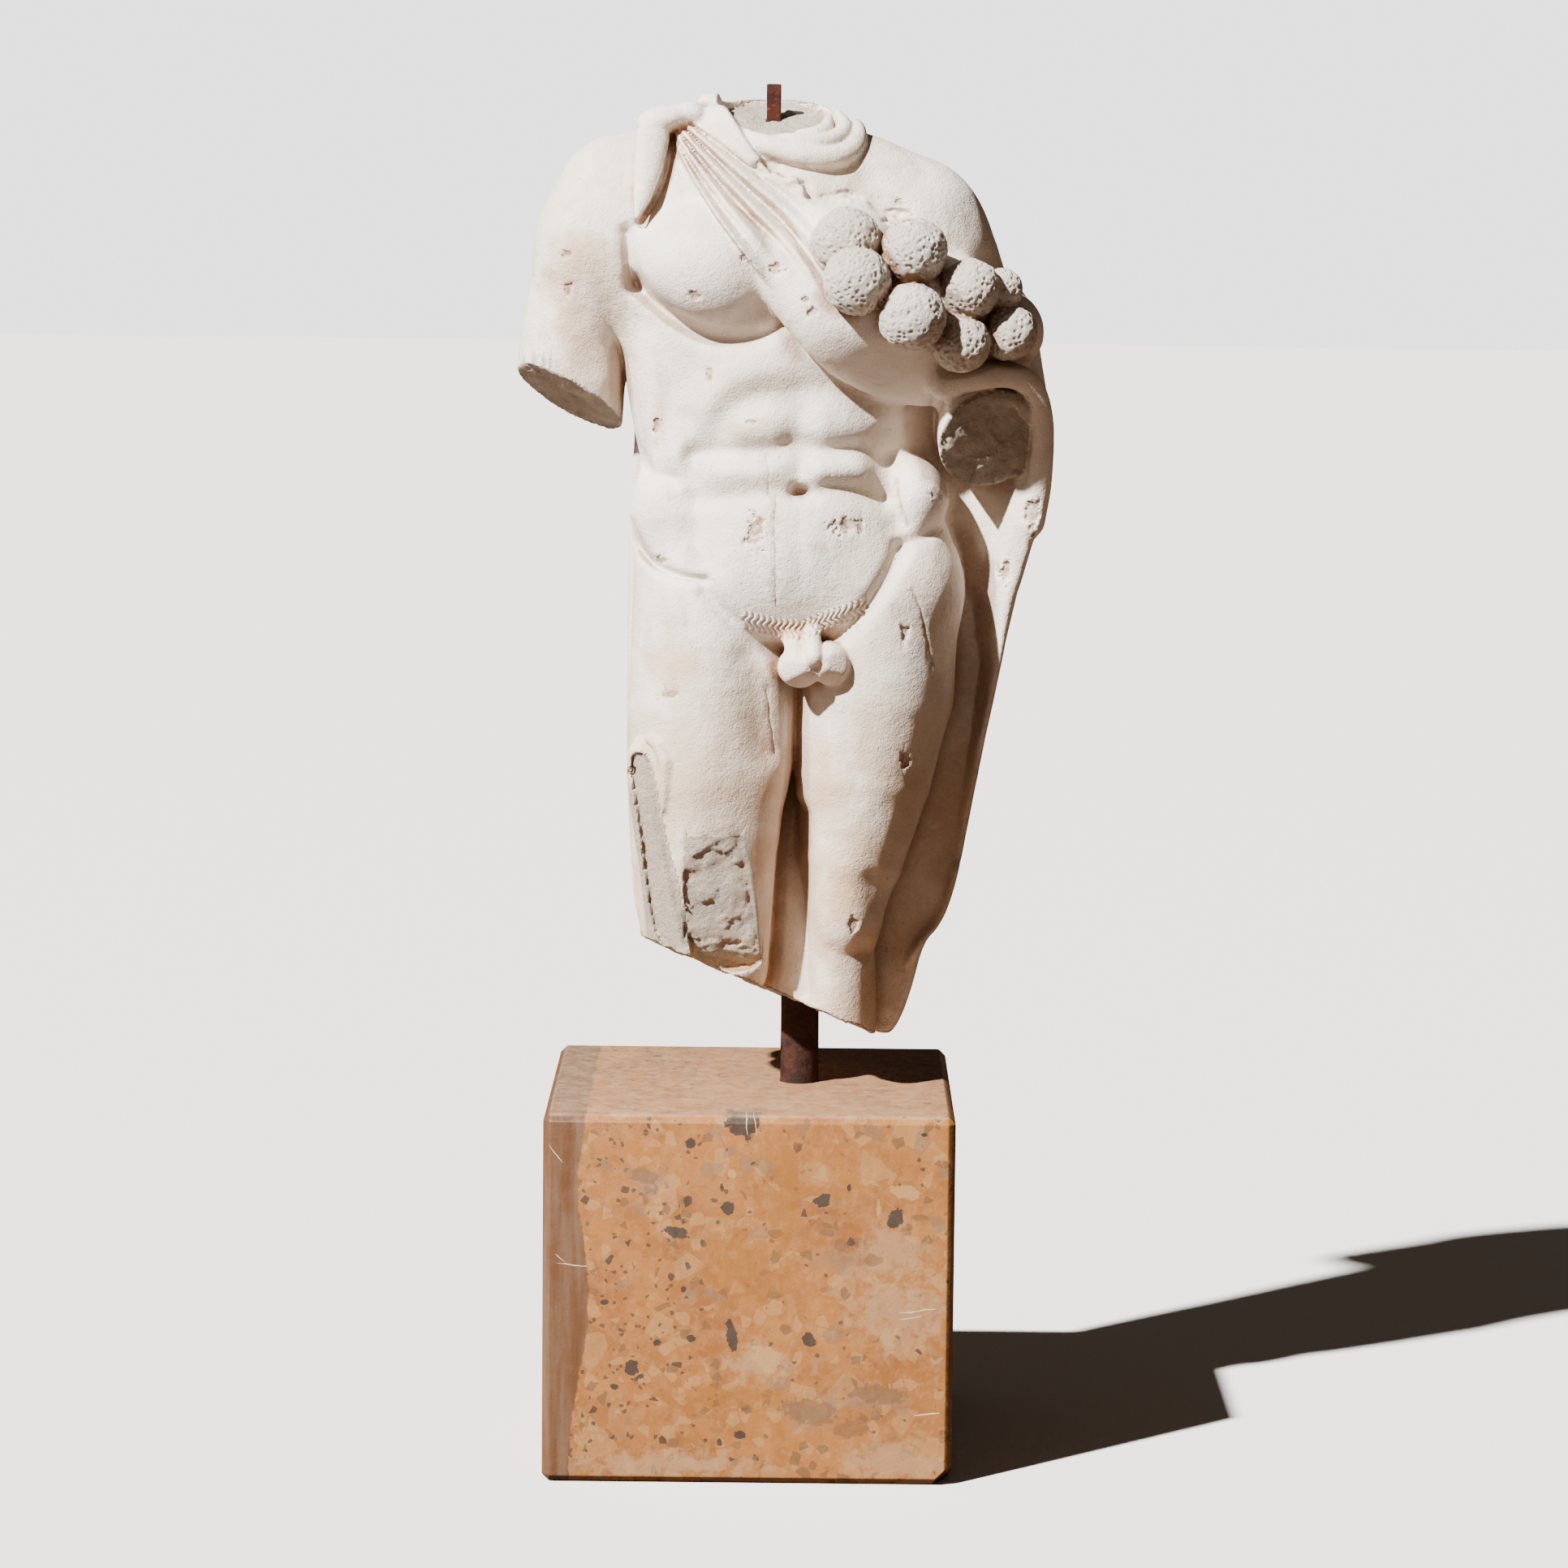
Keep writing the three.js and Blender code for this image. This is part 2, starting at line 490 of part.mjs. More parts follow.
function surfaceOf(field, step) {
  const [nx, ny, nz] = GRID_FROM.map((from, i) => Math.ceil((GRID_TO[i] - from) / step) + 1);
  const place = (i, j, k) => [GRID_FROM[0] + i * step, GRID_FROM[1] + j * step, GRID_FROM[2] + k * step];
  const index = (i, j, k) => (k * ny + j) * nx + i;
  const values = new Float64Array(nx * ny * nz);
  // Every second grid point is read first, and the ones between only where the surface is near.
  const near = 3 * step;
  const coarse = (n) => n - (n % 2);
  for (const skipCoarse of [false, true])
    for (let k = 0; k < nz; k++)
      for (let j = 0; j < ny; j++)
        for (let i = 0; i < nx; i++) {
          const isCoarse = !(i % 2 || j % 2 || k % 2);
          if (isCoarse === skipCoarse) continue;
          const known = isCoarse ? 0 : values[index(coarse(i), coarse(j), coarse(k))];
          values[index(i, j, k)] = Math.abs(known) > near ? known : field(...place(i, j, k)) || 1e-6;
        }
  const points = [];
  const triangles = [];
  const pointOnEdge = new Map();
  const cornerOnEdge = (i, j, k, edge) => {
    const [from, to] = EDGES[edge].map((c) => CORNERS[c]);
    const a = index(i + from[0], j + from[1], k + from[2]);
    const b = index(i + to[0], j + to[1], k + to[2]);
    const key = Math.min(a, b) * 8 + (from[0] !== to[0] ? 0 : from[1] !== to[1] ? 1 : 2);
    if (!pointOnEdge.has(key)) {
      const t = clamp(values[a] / (values[a] - values[b]), 0.04, 0.96);
      const p = place(i + mix(from[0], to[0], t), j + mix(from[1], to[1], t), k + mix(from[2], to[2], t));
      pointOnEdge.set(key, points.length / 3);
      points.push(...p);
    }
    return pointOnEdge.get(key);
  };
  for (let k = 0; k < nz - 1; k++)
    for (let j = 0; j < ny - 1; j++)
      for (let i = 0; i < nx - 1; i++) {
        let kind = 0;
        CORNERS.forEach(([a, b, c], n) => {
          if (values[index(i + a, j + b, k + c)] < 0) kind |= 1 << n;
        });
        if (kind === 0 || kind === 255) continue;
        for (let n = kind * 16; triTable[n] >= 0; n += 3)
          triangles.push([2, 1, 0].map((m) => cornerOnEdge(i, j, k, triTable[n + m])));
      }
  return { points, triangles };
}

// Keeps the largest of the separate surfaces, so that no crumb floats beside the figure
function largestPiece({ points, triangles }) {
  const parent = Array.from({ length: points.length / 3 }, (_, i) => i);
  const root = (i) => {
    while (parent[i] !== i) i = parent[i] = parent[parent[i]];
    return i;
  };
  for (const [a, b, c] of triangles) {
    parent[root(a)] = root(b);
    parent[root(b)] = root(c);
  }
  const count = new Map();
  for (const [a] of triangles) count.set(root(a), (count.get(root(a)) ?? 0) + 1);
  const largest = [...count].reduce((best, one) => (one[1] > best[1] ? one : best))[0];
  return { points, triangles: triangles.filter(([a]) => root(a) === largest) };
}

// Each corner carries the planes of its triangles, and the edge whose loss moves the surface least goes first.
function thinned({ points, triangles }, target) {
  const p = Float64Array.from(points);
  const faces = triangles.map((t) => [...t]);
  const alive = new Uint8Array(faces.length).fill(1);
  const facesAt = Array.from({ length: p.length / 3 }, () => new Set());
  const planes = new Float64Array((p.length / 3) * 10);
  const version = new Uint32Array(p.length / 3);

  const normalOf = (a, b, c) => {
    const [ux, uy, uz] = [p[b * 3] - p[a * 3], p[b * 3 + 1] - p[a * 3 + 1], p[b * 3 + 2] - p[a * 3 + 2]];
    const [vx, vy, vz] = [p[c * 3] - p[a * 3], p[c * 3 + 1] - p[a * 3 + 1], p[c * 3 + 2] - p[a * 3 + 2]];
    return [uy * vz - uz * vy, uz * vx - ux * vz, ux * vy - uy * vx];
  };
  faces.forEach(([a, b, c], f) => {
    const n = normalOf(a, b, c);
    const length = Math.hypot(...n) || 1e-12;
    const [x, y, z] = n.map((v) => v / length);
    const d = -(x * p[a * 3] + y * p[a * 3 + 1] + z * p[a * 3 + 2]);
    const q = [x * x, x * y, x * z, x * d, y * y, y * z, y * d, z * z, z * d, d * d];
    for (const v of [a, b, c]) {
      facesAt[v].add(f);
      for (let i = 0; i < 10; i++) planes[v * 10 + i] += q[i] * length;
    }
  });

  const costAt = (q, x, y, z) =>
    q[0] * x * x + 2 * q[1] * x * y + 2 * q[2] * x * z + 2 * q[3] * x + q[4] * y * y + 2 * q[5] * y * z +
    2 * q[6] * y + q[7] * z * z + 2 * q[8] * z + q[9];
  const bestPoint = (a, b) => {
    const q = Array.from({ length: 10 }, (_, i) => planes[a * 10 + i] + planes[b * 10 + i]);
    const ends = [a, b].map((v) => [p[v * 3], p[v * 3 + 1], p[v * 3 + 2]]);
    const middle = ends[0].map((v, i) => (v + ends[1][i]) / 2);
    const span = Math.hypot(...ends[0].map((v, i) => v - ends[1][i]));
    const tries = [middle, ...ends];
    const m = new THREE.Matrix3().set(q[0], q[1], q[2], q[1], q[4], q[5], q[2], q[5], q[7]);
    if (Math.abs(m.determinant()) > 1e-3 * Math.max(q[0], q[4], q[7]) ** 3) {
      const s = new THREE.Vector3(-q[3], -q[6], -q[8]).applyMatrix3(m.invert());
      if (Math.hypot(s.x - middle[0], s.y - middle[1], s.z - middle[2]) < span) tries.unshift([s.x, s.y, s.z]);
    }
    const costs = tries.map(([x, y, z]) => costAt(q, x, y, z));
    const i = costs.indexOf(Math.min(...costs));
    return { at: tries[i], cost: costs[i] + 1e-4 * span * span };
  };

  // The edges wait in a heap, cheapest first. A corner's version tells which entries are out of date.
  const heap = [];
  const push = (item) => {
    let i = heap.push(item) - 1;
    while (i > 0 && heap[(i - 1) >> 1].cost > heap[i].cost) {
      [heap[i], heap[(i - 1) >> 1]] = [heap[(i - 1) >> 1], heap[i]];
      i = (i - 1) >> 1;
    }
  };
  const pop = () => {
    const top = heap[0];
    const last = heap.pop();
    if (heap.length) {
      heap[0] = last;
      for (let i = 0, c = 1; c < heap.length; c = 2 * i + 1) {
        if (c + 1 < heap.length && heap[c + 1].cost < heap[c].cost) c++;
        if (heap[i].cost <= heap[c].cost) break;
        [heap[i], heap[c]] = [heap[c], heap[i]];
        i = c;
      }
    }
    return top;
  };
  const offer = (a, b) => push({ a, b, va: version[a], vb: version[b], ...bestPoint(a, b) });
  const neighbours = (v) => new Set([...facesAt[v]].flatMap((f) => faces[f]).filter((w) => w !== v));
  for (const [a, b, c] of faces) for (const [u, v] of [[a, b], [b, c], [c, a]]) if (u < v) offer(u, v);

  const flips = (v, other, at) => {
    for (const f of facesAt[v]) {
      if (faces[f].includes(other)) continue;
      const before = normalOf(...faces[f]);
      const kept = [p[v * 3], p[v * 3 + 1], p[v * 3 + 2]];
      p.set(at, v * 3);
      const after = normalOf(...faces[f]);
      p.set(kept, v * 3);
      const dot = before[0] * after[0] + before[1] * after[1] + before[2] * after[2];
      if (dot < 0.3 * Math.hypot(...before) * Math.hypot(...after)) return true;
    }
    return false;
  };
  let left = faces.length;
  while (left > target && heap.length) {
    const { a, b, va, vb, at } = pop();
    if (version[a] !== va || version[b] !== vb || !facesAt[a].size || !facesAt[b].size) continue;
    const around = neighbours(b);
    if ([...neighbours(a)].filter((v) => around.has(v)).length !== 2) continue;
    if (flips(a, b, at) || flips(b, a, at)) continue;
    p.set(at, a * 3);
    for (const f of facesAt[b]) {
      if (faces[f].includes(a)) {
        alive[f] = 0;
        left--;
        for (const v of faces[f]) if (v !== b) facesAt[v].delete(f);
      } else {
        faces[f] = faces[f].map((v) => (v === b ? a : v));
        facesAt[a].add(f);
      }
    }
    facesAt[b].clear();
    for (let i = 0; i < 10; i++) planes[a * 10 + i] += planes[b * 10 + i];
    version[a]++;
    version[b]++;
    for (const v of neighbours(a)) offer(a, v);
  }
  return { points: p, triangles: faces.filter((_, f) => alive[f]) };
}

// Closed solids that can be joined and cut
function solidOf(geometry) {
  const plain = geometry.clone();
  plain.deleteAttribute('normal');
  plain.deleteAttribute('uv');
  const merged = mergeVertices(plain, 1e-4);
  const vertProperties = Float32Array.from(merged.attributes.position.array);
  const triVerts = Uint32Array.from(merged.index.array);
  return new wasm.Manifold(new wasm.Mesh({ numProp: 3, vertProperties, triVerts }));
}

function geometryOf(solid) {
  const { vertProperties, triVerts, numProp } = solid.getMesh();
  const count = vertProperties.length / numProp;
  const positions = new Float32Array(count * 3);
  for (let i = 0; i < count; i++) {
    for (let k = 0; k < 3; k++) positions[i * 3 + k] = vertProperties[i * numProp + k];
  }
  const geometry = new THREE.BufferGeometry();
  geometry.setAttribute('position', new THREE.BufferAttribute(positions, 3));
  geometry.setIndex([...triVerts]);
  return geometry;
}

// A round bar from z = 0 up to its length, with a small chamfer at both ends
function roundBar(radius, length, edge) {
  const profile = [
    [0, 0], [radius - edge, 0], [radius, edge], [radius, length - edge], [radius - edge, length], [0, length],
  ];
  const bar = new THREE.LatheGeometry(profile.map(([r, z]) => new THREE.Vector2(r, z)), ROUND_SIDES);
  return bar.rotateX(Math.PI / 2);
}

// A flat bar standing on z = 0 with its broad side to the front
function flatBar(width, thickness, length, edge) {
  const half = new THREE.Vector2(width / 2 - edge, thickness / 2 - edge);
  const shape = new THREE.Shape([
    new THREE.Vector2(-half.x, -half.y), new THREE.Vector2(half.x, -half.y),
    new THREE.Vector2(half.x, half.y), new THREE.Vector2(-half.x, half.y),
  ]);
  const bar = new THREE.ExtrudeGeometry(shape, {
    depth: length - 2 * edge, bevelEnabled: true, bevelSegments: 1, bevelSize: edge, bevelThickness: edge,
  });
  return bar.translate(0, 0, edge);
}

// Where the marble's own frame lies in the part's frame
const MARBLE_X = POST_OFFSET_X;
const MARBLE_Y = POST_OFFSET_Y;
const MARBLE_Z = BLOCK_HEIGHT + FIGURE_GAP;
const NECK_BAR_X = MARBLE_X - 39 * FIGURE_SCALE;
const NECK_BAR_Y = MARBLE_Y + 10 * FIGURE_SCALE;
const NECK_BAR_FOOT = MARBLE_Z + 1024 * FIGURE_SCALE + NECK_BAR_RISE - NECK_BAR_LENGTH;
const POST_FOOT = BLOCK_HEIGHT - POST_DEPTH_IN_BLOCK;
const POST_LENGTH = POST_DEPTH_IN_BLOCK + FIGURE_GAP + POST_DEPTH_IN_MARBLE;

function supportPost() {
  return roundBar(POST_RADIUS, POST_LENGTH, POST_EDGE).translate(MARBLE_X, MARBLE_Y, POST_FOOT);
}

function postSocket() {
  const c = SOCKET_CLEARANCE;
  return roundBar(POST_RADIUS + c, POST_LENGTH + 2 * c, POST_EDGE).translate(MARBLE_X, MARBLE_Y, POST_FOOT - c);
}

function neckBar() {
  const bar = flatBar(NECK_BAR_WIDTH, NECK_BAR_THICKNESS, NECK_BAR_LENGTH, NECK_BAR_EDGE);
  return bar.translate(NECK_BAR_X, NECK_BAR_Y, NECK_BAR_FOOT);
}

function neckSlot() {
  const c = SOCKET_CLEARANCE;
  const bar = flatBar(NECK_BAR_WIDTH + 2 * c, NECK_BAR_THICKNESS + 2 * c, NECK_BAR_LENGTH + 2 * c, NECK_BAR_EDGE);
  return bar.translate(NECK_BAR_X, NECK_BAR_Y, NECK_BAR_FOOT - c);
}

function marbleTorso() {
  const { points, triangles } = thinned(largestPiece(surfaceOf(figureField, GRID_STEP)), FIGURE_TRIANGLES);
  const geometry = new THREE.BufferGeometry();
  geometry.setAttribute('position', new THREE.BufferAttribute(Float32Array.from(points), 3));
  geometry.setIndex(triangles.flat());
  geometry.scale(FIGURE_SCALE, FIGURE_SCALE, FIGURE_SCALE).translate(MARBLE_X, MARBLE_Y, MARBLE_Z);
  const cut = solidOf(geometry.toNonIndexed()).subtract(solidOf(postSocket())).subtract(solidOf(neckSlot()));
  return geometryOf(cut);
}

// A block with every edge chamfered
function plinth() {
  const c = BLOCK_CHAMFER;
  const x = BLOCK_WIDTH / 2 - c;
  const y = BLOCK_DEPTH / 2 - c;
  const corners = [[-x, -y], [x, -y], [x, y], [-x, y]];
  const shape = new THREE.Shape(corners.map(([a, b]) => new THREE.Vector2(a, b)));
  const block = new THREE.ExtrudeGeometry(shape, {
    depth: BLOCK_HEIGHT - 2 * c, bevelEnabled: true, bevelSegments: 1, bevelSize: c, bevelThickness: c,
  });
  return geometryOf(solidOf(block.translate(0, 0, c)).subtract(solidOf(postSocket())));
}

const stone = new THREE.MeshStandardMaterial({ color: STONE_WHITE, roughness: 0.7, metalness: 0 });
const breccia = new THREE.MeshStandardMaterial({ color: BRECCIA, roughness: 0.35, metalness: 0 });
const rust = new THREE.MeshStandardMaterial({ color: RUST, roughness: 0.85, metalness: 0.2 });

function named(name, geometry, material) {
  const mesh = new THREE.Mesh(geometry, material);
  mesh.name = name;
  return mesh;
}

const statue = new THREE.Group();
statue.add(named('marble_torso', marbleTorso(), stone));
statue.add(named('support_post', supportPost(), rust));
statue.add(named('neck_bar', neckBar(), rust));
statue.add(named('plinth', plinth(), breccia));

export default statue;
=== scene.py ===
# %% [markdown]
# A broken marble statue on its stone block
#
# This lesson dresses the construction model of an ancient marble figure: a nude man, broken at the neck,
# the arms and the knees, with a cloak gathered into a pouch of fruit. It stands on an iron post in a
# block of breccia. The construction model gives every size and place. Blender makes the surfaces: the
# fine carving, the breaks and chips, the stains, and the patterned stone.

# %% Load the fixed frame
import math
from concurrent.futures import ThreadPoolExecutor

import bpy
import numpy as np
import openvdb
from mathutils import Matrix, Vector


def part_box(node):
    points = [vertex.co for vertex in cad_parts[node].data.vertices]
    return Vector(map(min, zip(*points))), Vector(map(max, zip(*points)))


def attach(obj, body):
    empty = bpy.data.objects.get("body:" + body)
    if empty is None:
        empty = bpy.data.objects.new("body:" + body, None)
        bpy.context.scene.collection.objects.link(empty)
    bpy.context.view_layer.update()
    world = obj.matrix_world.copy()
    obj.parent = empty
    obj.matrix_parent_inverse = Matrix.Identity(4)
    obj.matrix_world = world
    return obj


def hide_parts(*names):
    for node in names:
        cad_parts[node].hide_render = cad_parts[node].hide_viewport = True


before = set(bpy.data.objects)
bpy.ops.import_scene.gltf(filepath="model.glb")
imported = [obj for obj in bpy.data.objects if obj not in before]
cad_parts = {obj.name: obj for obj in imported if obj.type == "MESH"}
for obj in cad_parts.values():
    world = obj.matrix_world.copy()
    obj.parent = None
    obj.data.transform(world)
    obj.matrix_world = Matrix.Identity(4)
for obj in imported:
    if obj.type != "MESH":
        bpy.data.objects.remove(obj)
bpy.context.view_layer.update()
MM = 0.001
post_low, post_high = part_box("support_post")
block_low, block_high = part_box("plinth")
bar_low, bar_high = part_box("neck_bar")

# %% [markdown]
# The camera
#
# The photograph was taken from eye level, about six metres in front of the block, looking slightly down.
# The camera is placed first, because every later choice is judged through it. Its place and turn were
# worked out from the edges of the block, whose size is known.

# %% Place the camera
FRAME_WIDTH_PX = 1932
FOCAL_LENGTH_PX = 6641
SENSOR_WIDTH = 36.0
CAMERA_PLACE = Vector((0.045, -6.0, 1.489))
CAMERA_DOWN = math.radians(7.05)
CAMERA_YAW = math.radians(-0.11)
CAMERA_ROLL = math.radians(0.57)


def camera_axes(down, yaw, roll):
    """Right, up and forward of a camera that looks along +Y, turned by yaw, then down, then by roll."""
    forward = Vector((math.sin(yaw) * math.cos(down), math.cos(yaw) * math.cos(down), -math.sin(down)))
    level = Vector((math.cos(yaw), -math.sin(yaw), 0.0))
    upright = level.cross(forward)
    right = level * math.cos(roll) + upright * math.sin(roll)
    up = upright * math.cos(roll) - level * math.sin(roll)
    return right, up, forward


right, up, forward = camera_axes(CAMERA_DOWN, CAMERA_YAW, CAMERA_ROLL)
camera_data = bpy.data.cameras.new("camera")
camera_data.sensor_width = SENSOR_WIDTH
camera_data.lens = SENSOR_WIDTH * FOCAL_LENGTH_PX / FRAME_WIDTH_PX
camera = bpy.data.objects.new("camera", camera_data)
turn = Matrix((right, up, -forward)).transposed().to_4x4()
camera.matrix_world = Matrix.Translation(CAMERA_PLACE) @ turn
bpy.context.scene.collection.objects.link(camera)
bpy.context.scene.camera = camera
print("lens", round(camera_data.lens, 1), "mm")

# %% [markdown]
# The floor and the light
#
# White marble shows its carving only through shade. One sun from the upper left does most of the work, as
# it did in the photograph. The surround that lights the shaded side is weak and warm, like light thrown
# back from dry ground, while the camera sees a pale floor and a white backdrop instead.

# %% Add the floor, the key light and the surround
FLOOR_SIZE = 60.0
KEY_DIRECTION = Vector((0.72, 0.68, -0.85))
KEY_WIDTH = math.radians(1.6)
KEY_STRENGTH = 17.0
SURROUND_STRENGTH = 0.045
SURROUND_WARM = (1.0, 0.80, 0.62, 1.0)
BACKDROP_STRENGTH = 3.2
FLOOR_PALE = (0.90, 0.89, 0.88, 1.0)
FLOOR_BOUNCE = (0.070, 0.038, 0.019, 1.0)


def new_material(name):
    """A material with nodes, and its Principled shader."""
    material = bpy.data.materials.new(name)
    material.use_nodes = True
    return material, material.node_tree.nodes["Principled BSDF"]


bpy.ops.object.select_all(action="DESELECT")
bpy.ops.mesh.primitive_plane_add(size=FLOOR_SIZE, location=(0, 0, block_low[2]))
floor = bpy.context.object
floor.name = "floor"
floor_material, floor_shader = new_material("pale_floor")
floor_shader.inputs["Roughness"].default_value = 0.9
seen_directly = floor_material.node_tree.nodes.new("ShaderNodeLightPath")
floor_colour = floor_material.node_tree.nodes.new("ShaderNodeMix")
floor_colour.data_type = "RGBA"
floor_colour.inputs[6].default_value = FLOOR_BOUNCE
floor_colour.inputs[7].default_value = FLOOR_PALE
floor_material.node_tree.links.new(seen_directly.outputs["Is Camera Ray"], floor_colour.inputs[0])
floor_material.node_tree.links.new(floor_colour.outputs[2], floor_shader.inputs["Base Color"])
floor.data.materials.append(floor_material)

key_data = bpy.data.lights.new("key", "SUN")
key_data.angle = KEY_WIDTH
key_data.energy = KEY_STRENGTH
key_data.color = (1.0, 0.965, 0.92)
key = bpy.data.objects.new("key", key_data)
key.location = -KEY_DIRECTION * 4.0
key.rotation_euler = KEY_DIRECTION.to_track_quat("-Z", "Y").to_euler()
bpy.context.scene.collection.objects.link(key)

surround = bpy.data.worlds.new("surround")
surround.use_nodes = True
nodes, links = surround.node_tree.nodes, surround.node_tree.links
fill = nodes["Background"]
fill.inputs["Color"].default_value = SURROUND_WARM
fill.inputs["Strength"].default_value = SURROUND_STRENGTH
backdrop = nodes.new("ShaderNodeBackground")
backdrop.inputs["Strength"].default_value = BACKDROP_STRENGTH
seen = nodes.new("ShaderNodeLightPath")
either = nodes.new("ShaderNodeMixShader")
links.new(seen.outputs["Is Camera Ray"], either.inputs[0])
links.new(fill.outputs[0], either.inputs[1])
links.new(backdrop.outputs[0], either.inputs[2])
links.new(either.outputs[0], nodes["World Output"].inputs[0])
bpy.context.scene.world = surround

# %% [markdown]
# Carving with distances
#
# A sculptor builds a figure from masses that run into each other: the rib cage, the shoulders, the
# thighs. The usual operators (extrude, bevel, bridge) can't melt such masses together, so this piece is
# made another way. Every mass is a small function that says how far a point lies outside it. Two masses
# melt into one with a soft minimum, and a break is a plane that cuts the result. The sum of them is read
# on a grid, and OpenVDB, which Blender carries, turns the grid into a surface.
#
# The functions work in millimetres, in the figure's own frame: x to the viewer's right, y to the back, z
# up, from a point on the post's axis level with the lowest tip of the marble.

# %% Define the soft shapes
FAR = 1000.0
REACH = 60.0
GAP_UNDER_FIGURE = 48.0


class Points:
    """Many points of the figure's frame at once, with the range of heights that they cover."""

    def __init__(self, x, y, z):
        self.x, self.y, self.z = x, y, z
        self.low, self.high = (float(z.min()), float(z.max())) if z.size else (0.0, 0.0)

    def near(self, low, high):
        return self.low < high + REACH and self.high > low - REACH


def melt(a, b, blend):
    h = np.maximum(blend - np.abs(a - b), 0.0) / blend
    return np.minimum(a, b) - h * h * blend * 0.25


def common(a, b, blend):
    return -melt(-a, -b, blend)


def mix(a, b, t):
    return a + (b - a) * t


def ramp(start, end, v):
    t = np.clip((v - start) / (end - start), 0.0, 1.0)
    return t * t * (3.0 - 2.0 * t)


def ball(centre, radii, lean=0.0):
    """An ellipsoid, turned clockwise by lean degrees as seen from the front."""
    cosine, sine = math.cos(math.radians(lean)), math.sin(math.radians(lean))
    rx, ry, rz = radii

    def distance(p):
        dx, dy, dz = p.x - centre[0], p.y - centre[1], p.z - centre[2]
        u, v, w = (dx * cosine - dz * sine) / rx, dy / ry, (dx * sine + dz * cosine) / rz
        k = np.sqrt(u * u + v * v + w * w)
        slope = np.sqrt((u / rx) ** 2 + (v / ry) ** 2 + (w / rz) ** 2) + 1e-9
        return k * (k - 1.0) / slope - 1e-6

    distance.span = (centre[2] - max(radii), centre[2] + max(radii))
    return distance


def roll(points, deep=1.0):
    """A round length through the points (x, y, z, radius); deep is its depth as a share of its width."""

    def distance(p):
        best = np.full(p.x.shape, FAR, np.float32)
        for a, b in zip(points, points[1:]):
            d = ((b[0] - a[0]), (b[1] - a[1]) / deep, (b[2] - a[2]))
            px, py, pz = p.x - a[0], (p.y - a[1]) / deep, p.z - a[2]
            t = np.clip((px * d[0] + py * d[1] + pz * d[2]) / sum(v * v for v in d), 0.0, 1.0)
            away = np.sqrt((px - t * d[0]) ** 2 + (py - t * d[1]) ** 2 + (pz - t * d[2]) ** 2)
            best = np.minimum(best, away - mix(a[3], b[3], t))
        return best

    heights = [q[2] for q in points]
    widest = max(q[3] for q in points)
    distance.span = (min(heights) - widest, max(heights) + widest)
    return distance


def behind(point, normal):
    """The stone that a clean break leaves: the side of a plane that its normal points away from."""
    n = Vector(normal).normalized()
    return lambda p: (p.x - point[0]) * n.x + (p.y - point[1]) * n.y + (p.z - point[2]) * n.z


def mass_of(parts):
    """Melts (solid, blend) pairs into one mass, and leaves out those too far away to matter."""

    def distance(p):
        d = np.full(p.x.shape, FAR, np.float32)
        for solid, blend in parts:
            if p.near(*solid.span):
                d = melt(d, solid(p), blend)
        return d

    return distance


# %% [markdown]
# Lines and outlines in the front view
#
# Grooves, folds and the edges of the cloak are drawn in the front view, on a flat map of x and z. A line
# is given by a few points and rounded by cutting its corners twice. The map is worked out once and then
# looked up, because the same fold holds at every depth.

# %% Define the front-view maps
STEP = 2.5
GRID_LOW = (-345.0, -250.0, -15.0)
GRID_HIGH = (345.0, 140.0, 1075.0)
COARSE = 4
counts = [COARSE * (math.ceil((high - low) / STEP / COARSE) + 1) for low, high in zip(GRID_LOW, GRID_HIGH)]
axis_x, axis_y, axis_z = [
    (low + STEP * np.arange(n)).astype(np.float32) for low, n in zip(GRID_LOW, counts)
]
map_x, map_z = np.meshgrid(axis_x, axis_z, indexing="ij")


def rounded(points, closed=False, times=2):
    """Cuts the corners of a line, as a chisel would."""
    for _ in range(times):
        pairs = list(zip(points, points[1:] + points[:1] if closed else points[1:]))
        cut = [tuple(mix(a, b, t) for a, b in zip(p, q)) for p, q in pairs for t in (0.25, 0.75)]
        points = cut if closed else [points[0]] + cut[1:-1] + [points[-1]]
    return points


def line_distance(points, x, z):
    best = np.full(x.shape, FAR, np.float32)
    for (ax, az), (bx, bz) in zip(points, points[1:]):
        ex, ez = bx - ax, bz - az
        t = np.clip(((x - ax) * ex + (z - az) * ez) / (ex * ex + ez * ez), 0.0, 1.0)
        best = np.minimum(best, np.hypot(x - ax - t * ex, z - az - t * ez))
    return best


def outline(points):
    """A map of how far each place lies outside a closed outline (negative inside)."""
    points = rounded(points, closed=True)
    loop = points + points[:1]
    inside = np.zeros(map_x.shape, bool)
    for (ax, az), (bx, bz) in zip(loop, loop[1:]):
        crosses = (az > map_z) != (bz > map_z)
        slope = (bx - ax) / (bz - az) if bz != az else 0.0
        inside ^= crosses & (map_x < ax + slope * (map_z - az))
    return line_distance(loop, map_x, map_z) * np.where(inside, -1.0, 1.0)


def relief(ridges):
    """A map of the summed height of ridges (height, width, points); a negative height is a groove."""
    total = np.zeros(map_x.shape, np.float32)
    for height, width, points in ridges:
        away = line_distance(rounded(points), map_x, map_z) / width
        total += height * np.exp(-away * away)
    return total


def look_up(front_map, p):
    """Reads a front-view map at each point."""
    i = np.clip(np.rint((p.x - GRID_LOW[0]) / STEP).astype(np.int32), 0, counts[0] - 1)
    k = np.clip(np.rint((p.z - GRID_LOW[2]) / STEP).astype(np.int32), 0, counts[2] - 1)
    return front_map[i, k]


print("the maps have", map_x.shape, "places")

